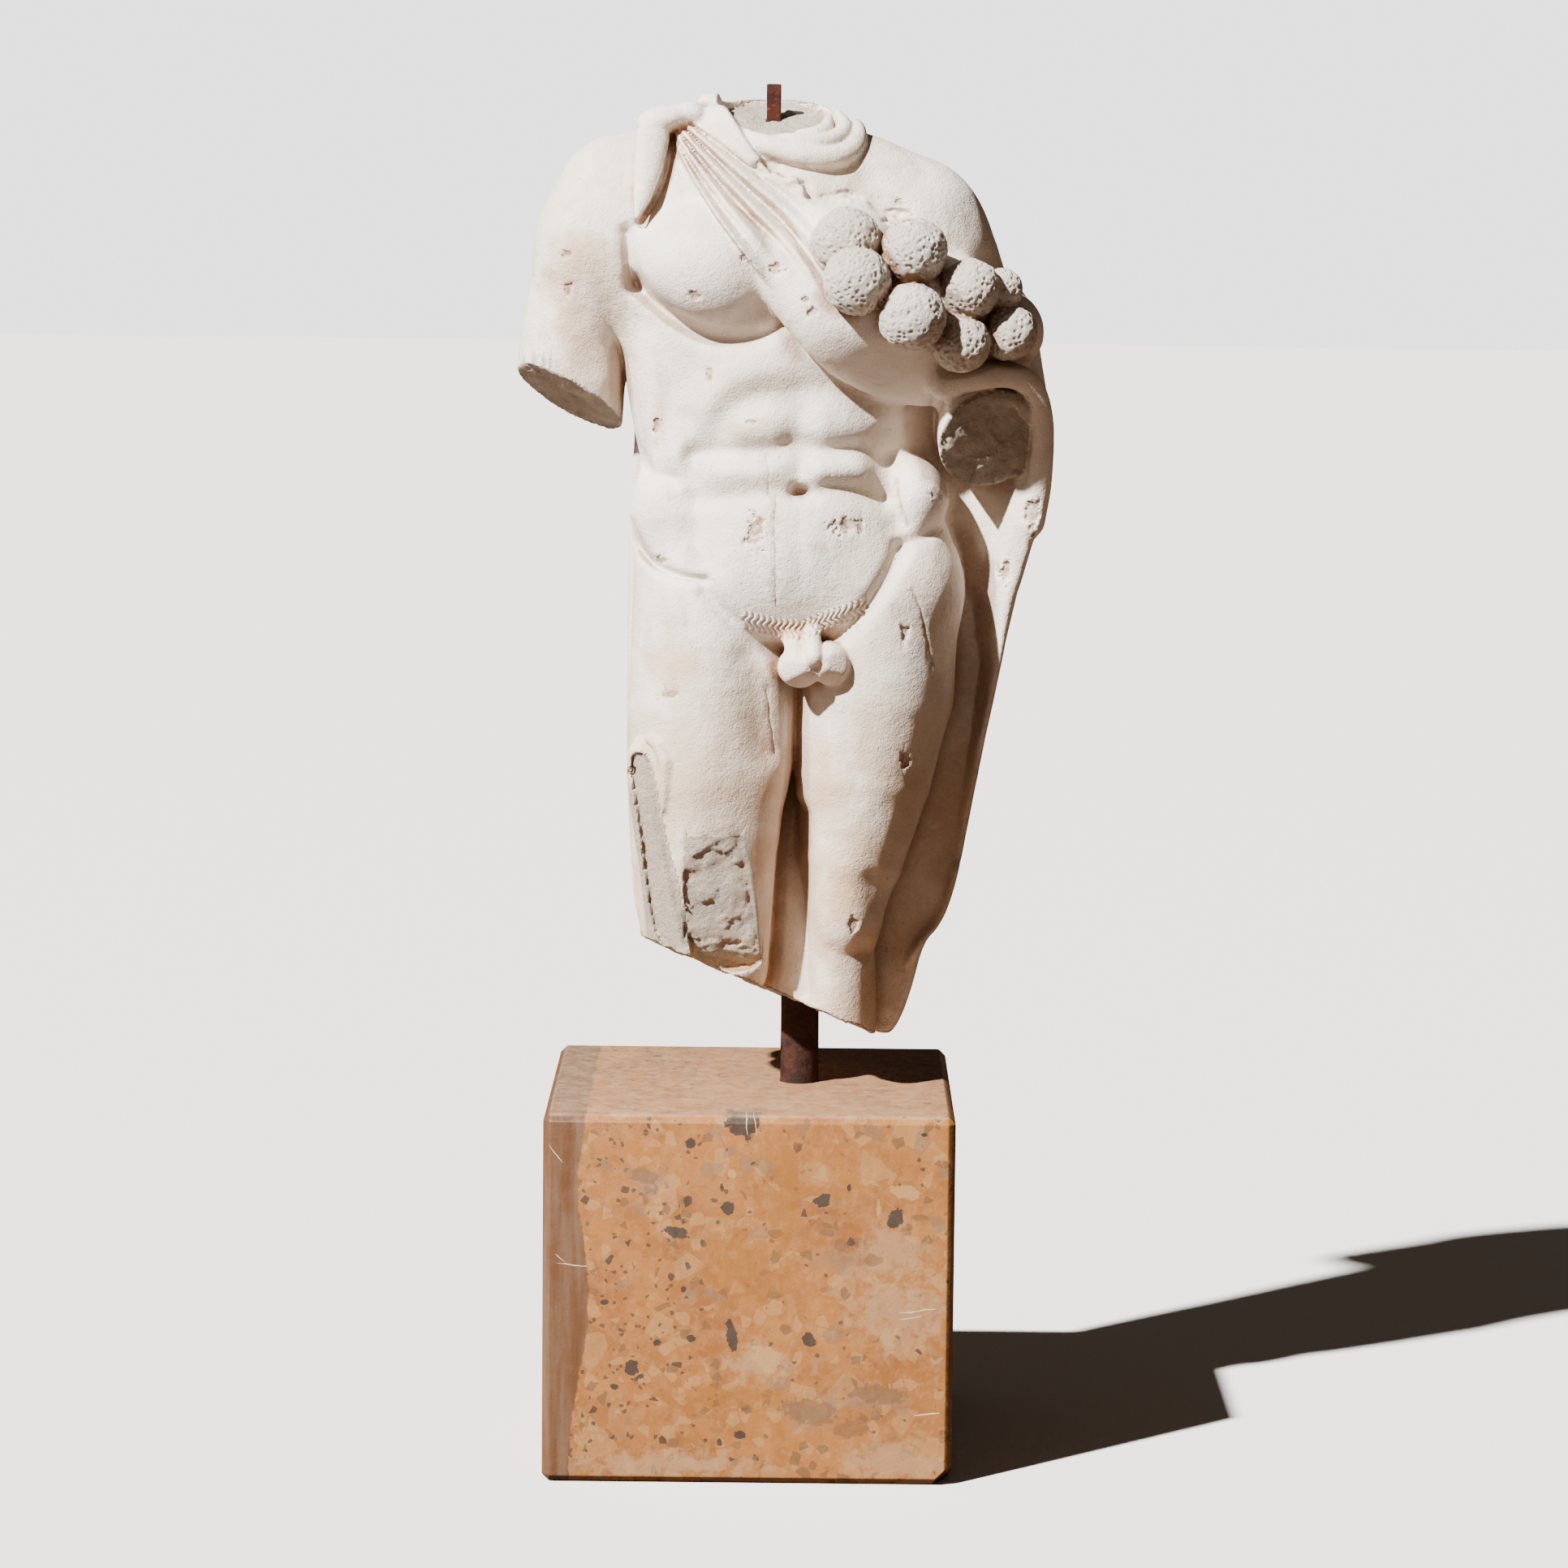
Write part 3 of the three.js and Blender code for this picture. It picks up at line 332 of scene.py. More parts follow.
# %% [markdown]
# The naked figure
#
# The man stands with his weight on his left leg, at the viewer's right, so that hip is pushed out and up.
# The masses follow the textbook order: rib cage, shoulder girdle, waist and pelvis first, then the chest
# muscles and the bulge over each hip, which sit on top with a tighter blend.

# %% Set the masses of the body
trunk = mass_of([
    (ball((-38, -6, 800), (160, 106, 205)), 1),
    (ball((-38, 8, 912), (186, 86, 86)), 46),
    (ball((-32, -16, 655), (146, 98, 135)), 50),
    (ball((-16, -8, 560), (168, 100, 100), 4), 45),
    (roll([(-39, 22, 984, 56), (-210, 6, 950, 60)]), 45),
    (roll([(-39, 22, 975, 54), (110, 12, 925, 54)]), 45),
    (roll([(-39, 6, 960, 62), (-39, -4, 1060, 56)]), 40),
    (ball((-105, -74, 868), (85, 72, 71), 15), 14),
    (ball((32, -70, 862), (84, 68, 72), -14), 18),
    (ball((-152, 0, 775), (40, 72, 110), -4), 40),
    (ball((86, 0, 775), (40, 72, 110), 6), 40),
    (ball((-12, -68, 556), (104, 64, 92)), 40),
    (roll([(10, -34, 956, 42), (116, -22, 926, 46)]), 30),
    (ball((66, -8, 962), (62, 48, 44), 24), 30),
    (roll([(-90, -32, 962, 40), (-186, -16, 932, 44)]), 30),
    (ball((122, -36, 530), (47, 62, 64), -10), 26),
    (ball((119, -42, 614), (39, 56, 48), -16), 22),
    (ball((-146, -38, 596), (42, 54, 54), 10), 34),
])
legs = mass_of([
    (roll([
        (-98, -26, 500, 92), (-104, -30, 377, 91), (-107, -32, 304, 89), (-110, -34, 213, 80),
        (-109, -36, 90, 66),
    ], 1.04), 34),
    (roll([
        (-62, -58, 420, 46), (-62, -60, 325, 46), (-72, -60, 266, 42), (-78, -58, 220, 40),
        (-80, -54, 90, 38),
    ]), 26),
    (roll([
        (82, -24, 500, 90), (80, -26, 399, 88), (69, -30, 308, 76), (54, -36, 216, 61), (43, -38, 160, 49),
        (39, -36, 110, 45), (42, -28, -40, 44),
    ], 1.1), 6),
    (roll([(20, -40, 440, 27), (18, -44, 360, 26), (22, -42, 270, 20)]), 16),
    (ball((50, -64, 152), (32, 28, 40), -6), 34),
    (ball((-12, -108, 449), (14, 20, 14)), 12),
])
deltoids = mass_of([
    (ball((-212, 0, 884), (84, 78, 100), -6), 1),
    (ball((121, 0, 878), (81, 76, 98), 10), 40),
])
upper_arms = mass_of([
    (roll([(-232, 0, 880, 66), (-258, 6, 790, 60), (-270, 14, 650, 62)], 1.06), 1),
    (roll([(140, 4, 870, 62), (198, 30, 700, 56)]), 30),
])
genitals = mass_of([
    (ball((-5, -112, 432), (24, 28, 22), 14), 1),
    (ball((29, -112, 437), (22, 28, 25), -20), 5),
    (roll([(9, -112, 470, 9), (11, -134, 445, 10)]), 3),
])
genital_breaks = [
    behind((12, -126, 420), (0.06, -0.66, -0.75)), behind((-12, -133, 430), (-0.42, -0.9, -0.12)),
    behind((38, -133, 434), (0.46, -0.88, 0.05)), behind((12, -146, 440), (-0.25, -0.93, -0.28)),
]

# %% [markdown]
# The muscles between the masses
#
# The grooves between the muscles are what the raking light picks out: the line under the chest, the arch
# of the ribs, the cross-grooves of the belly, and the deep crease from hip to groin. Each is a soft line
# cut into the front of the body.

# %% Cut the grooves of the body
body_lines = relief([
    (-4, 15, [(-12, 800), (-10, 740), (-9, 690)]),
    (-4, 10, [(-8, 662), (-7, 640)]),
    (-2, 10, [(-7, 606), (-6, 560), (-4, 520)]),
    (-12, 10, [(-188, 850), (-166, 826), (-118, 794), (-80, 788), (-38, 798), (-18, 816)]),
    (6, 20, [(-18, 758), (-49, 760), (-84, 746), (-116, 714), (-134, 668)]),
    (-6, 18, [(-34, 728), (-60, 726), (-84, 708), (-100, 682)]),
    (-5, 18, [(12, 738), (40, 738), (62, 716)]),
    (6, 22, [(-70, 698), (-40, 702)]),
    (7, 24, [(26, 700), (48, 698)]),
    (-7, 11, [(-122, 663), (-79, 668), (-35, 669), (-13, 678), (23, 668), (58, 674), (82, 660)]),
    (6, 15, [(-100, 644), (-40, 648)]),
    (9, 17, [(20, 650), (58, 650)]),
    (-4, 12, [(-140, 616), (-114, 613), (-70, 619), (-30, 624), (-18, 622)]),
    (-6, 11, [(8, 622), (20, 630), (50, 627), (84, 616)]),
    (-4, 12, [(84, 690), (94, 656), (99, 626), (103, 592)]),
    (-6, 15, [(-128, 700), (-124, 640), (-118, 593), (-112, 549)]),
    (-18, 8, [(-9, 625), (-3, 624)]),
    (-9, 6, [(-194, 580), (-188, 569), (-172, 544), (-145, 531), (-125, 527), (-108, 527)]),
    (-10, 10, [(-108, 514), (-91, 494), (-68, 472), (-44, 456), (-26, 446)]),
    (-9, 10, [(104, 560), (87, 524), (61, 488), (34, 463), (22, 452)]),
    (-4, 8, [(102, 566), (131, 573), (160, 596)]),
    (-8, 10, [(-198, 668), (-185, 655), (-169, 638), (-146, 634)]),
    (-6, 18, [(-62, 440), (-50, 400), (-42, 340)]),
    (3, 34, [(-96, 440), (-104, 300)]),
    (-4, 18, [(-150, 470), (-158, 400)]),
    (-15, 13, [(-2, 262), (3, 190), (6, 120), (6, 60)]),
    (-4, 14, [(76, 196), (80, 150), (72, 112)]),
    (-3, 12, [(34, 114), (50, 108), (66, 114)]),
    (-9, 9, [(-198, 905), (-194, 870), (-190, 846)]),
    (-6, 16, [(64, 960), (92, 925), (110, 880)]),
    (-4, 16, [(-290, 836), (-262, 812), (-238, 760)]),
    (-11, 6, [(-150, 1006), (-154, 968), (-166, 940), (-182, 916)]),
])

# %% [markdown]
# The breaks
#
# The neck, the arm, both legs and the forearm end in breaks. Each is a plane, limited by a line where the
# break stops. The same planes are used again later, to find the broken faces and roughen them.

# %% Set the breaks
strut = roll([(-174, -80, 330, 20), (-169, -86, 280, 22), (-160, -88, 235, 24), (-140, -84, 100, 27)])
strut_lip = roll([
    (-170, -98, 350, 5), (-158, -106, 344, 7), (-150, -112, 326, 8), (-150, -112, 302, 6),
    (-153, -110, 272, 3),
])
strip_outline = outline([
    (-192, 334), (-189, 305), (-179, 242), (-163, 112), (-119, 112), (-122, 145), (-144, 224), (-154, 266),
    (-161, 307), (-172, 336),
])
STRIP_DEPTH = 4.5
web = roll([(-8, 44, 430, 30), (-14, 42, 300, 34), (-10, 24, 200, 42), (-4, 8, 130, 46), (-4, 6, 0, 48)])
knee_outline = outline([
    (-128, 212), (-110, 229), (-81, 243), (-58, 216), (-52, 198), (-53, 167), (-44, 138), (-36, 90),
    (-120, 90), (-123, 125), (-128, 158),
])
NECK_PLANE = ((-39, -20, 1019), (0, -0.34, 0.94))
ARM_PLANE = ((-272, 0, 726), (-0.43, -0.3, -0.85))
LOWER_PLANE = ((-44, -40, 64), (-0.37, -0.15, -0.91))
TIP_PLANE = ((100, 0, 3), (0.1, -0.1, -0.98))
KNEE_PLANE = ((-88, -116, 238), (0.12, -0.97, -0.2))
KNEE_END_PLANE = ((-88, -100, 132), (0.02, -0.8, -0.6))
STRUT_PLANE = ((-168, -104, 230), (-0.64, -0.74, -0.17))
FOREARM_PLANE = ((198, -86, 675), (0.45, -1, -0.42))
neck_break = behind(*NECK_PLANE)
arm_break = behind(*ARM_PLANE)
lower_break = behind(*LOWER_PLANE)
tip_break = behind(*TIP_PLANE)
knee_break = behind(*KNEE_PLANE)
knee_end = behind(*KNEE_END_PLANE)
strut_break = behind(*STRUT_PLANE)
forearm_end = behind(*FOREARM_PLANE)
NECK_CENTRE = (-39, -4)
NECK_BREAK_RADIUS = 62
ARM_BREAK_INNER_X = -197


def body(p):
    d = melt(melt(trunk(p), legs(p), 34), deltoids(p), 34)
    if p.near(650, 900):
        d = melt(d, upper_arms(p), mix(3, 30, ramp(810, 900, p.z)))
    d = d - look_up(body_lines, p) * ramp(-10, -50, p.y)
    if p.near(400, 480):
        parts = genitals(p)
        for plane in genital_breaks:
            parts = common(parts, plane(p), 1.5)
        d = melt(d, parts, 6)
    if p.near(600, 800):
        d = common(d, np.minimum(arm_break(p), ARM_BREAK_INNER_X - p.x), 3)
    if p.near(0, 370):
        d = melt(d, common(strut(p), strut_break(p), 2), 4)
        in_strip = ramp(0, 3, -look_up(strip_outline, p)) * ramp(0, -30, p.y)
        d = melt(d + STRIP_DEPTH * in_strip, strut_lip(p), 3)
        knee = np.maximum(knee_break(p), knee_end(p))
        d = common(d, np.minimum(knee, -look_up(knee_outline, p)), 2)
    return d


# %% [markdown]
# The cloak
#
# The cloak is one cloth carved in stone, and three parts of it hang in different ways. Over the chest it
# lies on the body and fans out from the knot on the shoulder. Behind the body it falls in long straight
# folds. From the forearm it drops as a heavy edge beside the leg.

# %% Set the cloak, its knot and its collar
sling_outline = outline([
    (-154, 1011), (-130, 964), (-105, 927), (-75, 888), (-47, 852), (-18, 818), (8, 786), (40, 752),
    (90, 740), (150, 760), (200, 810), (205, 858), (153, 893), (114, 917), (94, 931), (76, 928), (62, 948),
    (44, 949), (20, 939), (-4, 944), (0, 960), (-16, 970), (-27, 966), (-49, 984), (-64, 1004), (-80, 1030),
    (-95, 1050), (-132, 1036),
])
FAN_START = (-146, 1024)
fan_hem = rounded([(-154, 1011), (-130, 964), (-96, 913), (-53, 856), (-24, 819), (24, 772)])
fan_top = rounded([(-136, 1032), (-87, 1004), (-49, 979), (-11, 955), (13, 932), (33, 909), (60, 860)])
fan_area = outline(fan_hem + fan_top[::-1])
FAN_FOLDS = [
    (0.16, -10, 0.070, 200), (0.37, -15, 0.075, 300), (0.60, -14, 0.070, 320), (0.83, -10, 0.060, 230),
    (0.05, 4, 0.070, 300), (0.27, 6, 0.080, 260), (0.48, 7, 0.085, 310), (0.71, 6, 0.080, 280),
]


def fan_relief():
    """Folds that start together at the knot and spread between the hem and the top line."""
    from_hem, from_top = line_distance(fan_hem, map_x, map_z), line_distance(fan_top, map_x, map_z)
    across = from_hem / (from_hem + from_top + 0.01)
    along = np.hypot(map_x - FAN_START[0], map_z - FAN_START[1])
    total = np.zeros(map_x.shape)
    for place, height, width, length in FAN_FOLDS:
        shape = np.exp(-(np.abs(across - place) / width) ** 1.5)
        total += height * shape * ramp(length, 0.55 * length, along)
    return (total * ramp(0, 34, along) * ramp(0, 5, -fan_area)).astype(np.float32)


sling_folds = fan_relief()
knot = mass_of([
    (ball((-160, -30, 1027), (31, 31, 16), -12), 12),
    (ball((-128, -28, 1034), (16, 22, 13), 20), 10),
    (roll([
        (-172, -50, 1008, 19), (-175, -68, 978, 16), (-181, -86, 945, 10), (-187, -94, 922, 3),
    ], 0.6), 6),
])
collar = mass_of([
    (roll(rounded([
        (-100, 8, 1044, 14), (-88, -34, 1020, 13), (-62, -62, 1004, 12), (-18, -80, 993, 12),
        (16, -80, 987, 12), (40, -68, 991, 12), (52, -48, 1003, 12), (52, -22, 1019, 11),
        (46, 20, 1020, 12), (20, 66, 1002, 14), (-50, 80, 1004, 16), (-100, 54, 1026, 16),
        (-112, 14, 1043, 13),
    ])), 6),
    (roll(rounded([
        (-46, -62, 1006, 7), (-10, -74, 1006, 9), (14, -72, 1004, 10), (34, -56, 1010, 10),
        (40, -34, 1022, 9), (30, -12, 1033, 8),
    ])), 2),
    (roll(rounded([(-24, -58, 1012, 6), (2, -60, 1012, 8), (19, -46, 1018, 8), (20, -26, 1029, 7)])), 2),
])
pouch = mass_of([
    (roll(rounded([
        (-70, -104, 900, 20), (-28, -118, 858, 30), (20, -128, 810, 38), (75, -116, 770, 46),
        (130, -88, 748, 45), (176, -82, 750, 37),
    ]), 0.9), 16),
    (ball((112, -84, 814), (102, 84, 74), 22), 26),
    (roll([(150, -70, 830, 58), (214, -66, 800, 46)]), 20),
])
pouch_face = behind((90, -150, 800), (0.22, -0.78, -0.58))
FRUITS = [
    (42, -146, 899, 37), (53, -172, 857, 37), (114, -146, 889, 37), (113, -174, 819, 37),
    (167, -142, 790, 32), (176, -134, 848, 33), (211, -108, 847, 24), (220, -114, 801, 31),
]
forearm = roll([(200, 20, 700, 56), (198, -120, 675, 53)])
wrap = roll([(196, 40, 800, 60), (208, 34, 712, 62), (208, -74, 704, 62)])
wrap_end = behind((200, -72, 690), (0.45, -1, -0.42))
wrap_rim = mass_of([
    (roll(rounded([
        (150, -104, 742, 16), (182, -110, 752, 15), (220, -104, 756, 14), (244, -92, 746, 14),
        (256, -80, 722, 13), (261, -70, 686, 13), (259, -60, 640, 13), (252, -50, 590, 12),
    ])), 4),
    (roll(rounded([(162, -96, 722, 8), (202, -100, 733, 8), (230, -90, 728, 8), (245, -78, 706, 7)])), 4),
])
hanging_outline = outline([
    (80, 790), (236, 790), (262, 720), (268, 640), (262, 605), (247, 543), (231, 493), (218, 414),
    (205, 349), (192, 276), (184, 225), (171, 165), (158, 130), (137, 109), (127, 62), (110, 14), (95, 2),
    (60, 24), (20, 60), (60, 300),
])
hanging_folds = relief([
    (5, 12, [(236, 660), (222, 560), (204, 450)]),
    (-5, 10, [(222, 640), (206, 560), (192, 470)]),
    (5, 12, [(176, 330), (158, 220), (140, 150)]),
    (-5, 10, [(150, 300), (128, 200), (104, 110), (96, 30)]),
    (14, 10, [(80, 52), (112, 84), (141, 114), (161, 136), (176, 190)]),
])
back_outline = outline([
    (-95, 1034), (-150, 1010), (-200, 968), (-208, 900), (-196, 780), (-190, 690), (-194, 640), (-198, 500),
    (-198, 300), (-190, 150), (-176, 108), (-75, 70), (0, 40), (95, 0), (110, 14), (127, 62), (137, 109),
    (158, 130), (192, 276), (218, 414), (247, 543), (268, 640), (262, 730), (232, 830), (196, 930),
    (120, 980), (50, 1002), (-30, 1010),
])
back_folds = relief([
    (12, 16, [(-150, 980), (-120, 700), (-150, 400), (-160, 120)]),
    (-12, 14, [(-120, 960), (-84, 700), (-110, 400), (-120, 110)]),
    (12, 16, [(-110, 1000), (-40, 720), (-64, 400), (-80, 90)]),
    (-12, 14, [(-80, 980), (10, 740), (-20, 420), (-40, 80)]),
    (12, 16, [(-60, 1000), (70, 760), (40, 420), (10, 60)]),
    (-12, 14, [(-20, 980), (130, 780), (90, 430), (50, 50)]),
    (12, 16, [(20, 980), (190, 780), (150, 430), (90, 40)]),
])

# %% [markdown]
# Putting the figure together
#
# The parts are melted in the order in which they lie on each other: body, back of the cloak, cloth on the
# chest, pouch, forearm, fruit, knot. The breaks come last, because they go through everything.

# %% Join the parts into one figure
SLING_THICKNESS = 13.0
SLING_EDGE = 3.5
CLOAK_THICKNESS = 12.0
BACK_START_Y = 12.0


def sling(p, skin):
    inside = ramp(0, SLING_EDGE, -look_up(sling_outline, p)) * ramp(0, -20, p.y)
    return skin - (SLING_THICKNESS + look_up(sling_folds, p)) * inside


def back(p, skin):
    middle = mix(20, -40, ramp(100, 900, p.z))
    elbow = 46 * ramp(110, 200, p.x) * ramp(430, 640, p.z) * ramp(900, 700, p.z)
    depth = np.maximum(100 - 0.0013 * (p.x - middle) ** 2, 50) + elbow - 22 * ramp(930, 1030, p.z)
    folds = look_up(back_folds, p) * ramp(20, 60, p.y) * ramp(1010, 920, p.z)
    sheet = np.minimum(skin - CLOAK_THICKNESS, p.y - depth) - folds
    return common(common(sheet, look_up(back_outline, p), 14), BACK_START_Y - p.y, 10)


def hanging(p):
    inward = -look_up(hanging_outline, p)
    edge_y = mix(6, -58, ramp(120, 600, p.z))
    edge_width = mix(26, 96, ramp(420, 620, p.z))
    deep_y = mix(36, -14, ramp(280, 610, p.z))
    front = mix(edge_y, deep_y, ramp(0, edge_width, inward)) - look_up(hanging_folds, p)
    slab = common(front - p.y, p.y - mix(60, 100, ramp(430, 640, p.z)), 20)
    return common(slab, look_up(hanging_outline, p), 16)


def fruits(p):
    d = np.full(p.x.shape, FAR, np.float32)
    for x, y, z, radius in FRUITS:
        d = np.minimum(d, np.sqrt((p.x - x) ** 2 + (p.y - y) ** 2 + (p.z - z) ** 2) - radius)
    return d


def figure(p):
    """How far each point lies outside the whole marble (negative inside)."""
    skin = body(p)
    d = melt(skin, back(p, skin), 8)
    if p.near(-50, 464):
        d = melt(d, web(p), 10)
    if p.near(0, 790):
        d = melt(d, hanging(p), 6)
    if p.near(740, 1050):
        d = np.minimum(d, sling(p, skin))
    if p.near(708, 920):
        d = melt(d, common(pouch(p), pouch_face(p), 22), 8)
    if p.near(600, 860):
        wrapped = melt(common(wrap(p), wrap_end(p), 8), wrap_rim(p), 8)
        d = melt(melt(d, wrapped, 14), common(forearm(p), forearm_end(p), 4), 5)
    if p.near(758, 936):
        d = melt(d, fruits(p), 3)
    if p.near(925, 1062):
        d = melt(melt(d, knot(p), 6), collar(p), 5)
        top = NECK_BREAK_RADIUS - np.hypot(p.x - NECK_CENTRE[0], p.y - NECK_CENTRE[1])
        d = common(d, np.minimum(neck_break(p), top), 4)
    if p.near(0, 180):
        d = common(common(d, lower_break(p), 4), tip_break(p), 4)
    return d


# %% [markdown]
# From distances to a surface
#
# The grid has about twenty million places, but only those near the surface matter. A coarse grid is read
# first, and the fine one only where the coarse distance is small. Several threads share the work.

# %% Read the figure on the grid and surface it
CHUNK = 60000
NEAR_SURFACE = 24.0
THREADS = 4


def read_points(x, y, z):
    """Reads the figure at many points, sorted by height, in chunks."""
    spans = [slice(i, i + CHUNK) for i in range(0, len(x), CHUNK)]
    with ThreadPoolExecutor(THREADS) as pool:
        parts = pool.map(lambda s: figure(Points(x[s], y[s], z[s])).astype(np.float32), spans)
    return np.concatenate(list(parts))


def read_grid():
    """The figure's distances on the fine grid, as an array over z, y and x."""
    coarse_axes = [axis[::COARSE] + STEP * (COARSE - 1) / 2 for axis in (axis_z, axis_y, axis_x)]
    cz, cy, cx = [a.ravel() for a in np.meshgrid(*coarse_axes, indexing="ij")]
    coarse = read_points(cx, cy, cz).reshape([len(a) for a in coarse_axes])
    values = coarse
    for axis in range(3):
        values = np.repeat(values, COARSE, axis=axis)
    k, j, i = np.nonzero(np.abs(values) < NEAR_SURFACE)
    print("reading", len(k), "of", values.size, "places")
    values[k, j, i] = read_points(axis_x[i], axis_y[j], axis_z[k])
    return values


def surface_of(values):
    """Points in millimetres and quads of the zero surface."""
    grid = openvdb.FloatGrid()
    grid.background = FAR
    grid.copyFromArray(np.ascontiguousarray(values.transpose(2, 1, 0)))
    points, triangles, quads = grid.convertToPolygons(isovalue=0.0, adaptivity=0.0)
    return points * STEP + np.array(GRID_LOW), triangles, quads


marble_points, _, marble_quads = surface_of(read_grid())
print("surface has", len(marble_points), "points and", len(marble_quads), "quads")


# %% Make the mesh and keep the one largest piece
def new_mesh(name, points, faces):
    """A mesh from arrays of points (in metres) and faces with equally many corners."""
    mesh = bpy.data.meshes.new(name)
    mesh.vertices.add(len(points))
    mesh.vertices.foreach_set("co", points.astype(np.float32).ravel())
    mesh.loops.add(faces.size)
    mesh.loops.foreach_set("vertex_index", faces.astype(np.int32).ravel())
    mesh.polygons.add(len(faces))
    mesh.polygons.foreach_set("loop_start", np.arange(0, faces.size, faces.shape[1], dtype=np.int32))
    mesh.update(calc_edges=True)
    return mesh


def only(*objs):
    """Selects these objects alone, and makes the first one active."""
    bpy.ops.object.select_all(action="DESELECT")
    for obj in objs:
        obj.select_set(True)
    bpy.context.view_layer.objects.active = objs[0]


FIGURE_ORIGIN = np.array([(post_low[0] + post_high[0]) / 2, (post_low[1] + post_high[1]) / 2,
                          block_high[2] + GAP_UNDER_FIGURE * MM])
marble = bpy.data.objects.new("carved_marble", new_mesh("carved_marble", marble_points * MM, marble_quads))
bpy.context.scene.collection.objects.link(marble)
only(marble)
bpy.ops.mesh.separate(type="LOOSE")
crumbs = sorted(bpy.context.selected_objects, key=lambda o: len(o.data.vertices))
marble = crumbs.pop()
for crumb in crumbs:
    bpy.data.objects.remove(crumb)
marble.name = "carved_marble"
print("the figure has", len(marble.data.vertices), "points;", len(crumbs), "crumbs were removed")

# %% [markdown]
# Where the carving is finest
#
# The grid is too coarse for the curls, the cracks, the small flakes and the pits of the fruit. Their
# places are listed here, and the faces there are divided before the marks are pressed in.

# %% List the fine marks and divide the faces there
FLAKES = [
    ("nipple", -123, 837, 8, 8, 1.2), ("ribs", -106, 749, 5, 12, 1.8), ("flank", -164, 694, 6, 10, 2.0),
    ("arch", -61, 701, 8, 4, 1.6), ("belly left", -56, 583, 13, 22, 2.2),
    ("belly right", 46, 588, 23, 10, 1.4), ("hip", -158, 547, 9, 7, 1.6), ("thigh", 111, 472, 7, 9, 2.0),
    ("thigh low", 113, 328, 7, 12, 2.0), ("shin", 58, 145, 6, 10, 1.8), ("band", -36, 869, 12, 7, 2.4),
    ("band low", 6, 822, 8, 7, 2.6), ("band mid", -2, 836, 5, 5, 2.0), ("arm high", -266, 880, 8, 7, 1.6),
    ("arm", -262, 840, 6, 8, 1.6), ("hole", -188, 313, 4, 6, 5.0), ("cloak edge", 251, 600, 9, 24, 3.4),
    ("cloak edge low", 222, 532, 8, 15, 3.4), ("shoulder", 100, 940, 8, 5, 1.6),
    ("left thigh", -146, 400, 12, 6, 1.0), ("chest", -70, 880, 5, 5, 1.2),
]
CRACKS = [
    [(-43, 666), (-40, 645), (-41, 621)], [(-32, 621), (-34, 590), (-32, 559), (-31, 501)],
    [(99, 639), (104, 612), (113, 586)], [(118, 519), (127, 500), (132, 480), (142, 434)],
    [(-41, 406), (-36, 371), (-31, 334)],
]
CURL_TOP = [(-68, 496), (-28, 486), (-2, 484), (25, 496), (70, 512)]
CURL_HEIGHT = 22.0
CURL_SPACING = 6.4
CURL_DEPTH = 2.6
curl_x, curl_z = zip(*CURL_TOP)


def below_curl_top(points):
    """How far below the top of the curls each point lies, and whether it is on the curled part."""
    drop = np.interp(points[:, 0], curl_x, curl_z) - points[:, 2]
    beside = (points[:, 0] > curl_x[0]) & (points[:, 0] < curl_x[-1])
    return drop, beside & (drop > -6) & (drop < CURL_HEIGHT + 6) & (points[:, 1] < -60)


def divide_faces(obj, chosen, cuts):
    """Divides the faces between the chosen points, given as one yes or no for each point."""
    only(obj)
    bpy.ops.object.mode_set(mode="EDIT")
    bpy.ops.mesh.select_mode(type="VERT")
    bpy.ops.mesh.select_all(action="DESELECT")
    bpy.ops.object.mode_set(mode="OBJECT")
    obj.data.vertices.foreach_set("select", chosen)
    bpy.ops.object.mode_set(mode="EDIT")
    bpy.ops.mesh.subdivide(number_cuts=cuts)
    bpy.ops.object.mode_set(mode="OBJECT")


places = np.empty(len(marble.data.vertices) * 3, np.float32)
marble.data.vertices.foreach_get("co", places)
places = places.reshape(-1, 3) / MM
fine = below_curl_top(places)[1]
for fruit_x, fruit_y, fruit_z, radius in FRUITS:
    away = np.linalg.norm(places - (fruit_x, fruit_y, fruit_z), axis=1)
    fine |= (abs(away - radius) < 1.5) & (places[:, 1] < fruit_y + 10)
for name, flake_x, flake_z, half_width, half_height, depth in FLAKES:
    away = np.hypot((places[:, 0] - flake_x) / (half_width + 3), (places[:, 2] - flake_z) / (half_height + 3))
    fine |= (away < 1.4) & (places[:, 1] < 0)
for line in CRACKS:
    fine |= (line_distance(line, places[:, 0], places[:, 2]) < 4.0) & (places[:, 1] < -40)
divide_faces(marble, fine, 2)
print("the figure has", len(marble.data.vertices), "points after dividing")

# %% [markdown]
# Weather and damage
#
# Two thousand years have roughened the stone. The broken faces are lumpy, the rim of the pouch is
# chipped, the fruits are drilled with small pits, and small flakes are missing all over. These marks are
# made as a sculptor would: the surface is pushed in or out along its own direction, by an amount that
# depends on the place. The random part comes from noise with a fixed seed, so every run gives the same
# statue.

# %% Define the noise
def lattice(i, j, k, seed):
    """A repeatable random number from 0 to 1 for each whole-numbered place."""
    n = (i * 374761393 + j * 668265263 + k * 1274126177 + seed * 69069) & 0xFFFFFFFF
    n = ((n ^ (n >> 13)) * 1274126177) & 0xFFFFFFFF
    return ((n ^ (n >> 16)) & 0xFFFF) / 65535.0


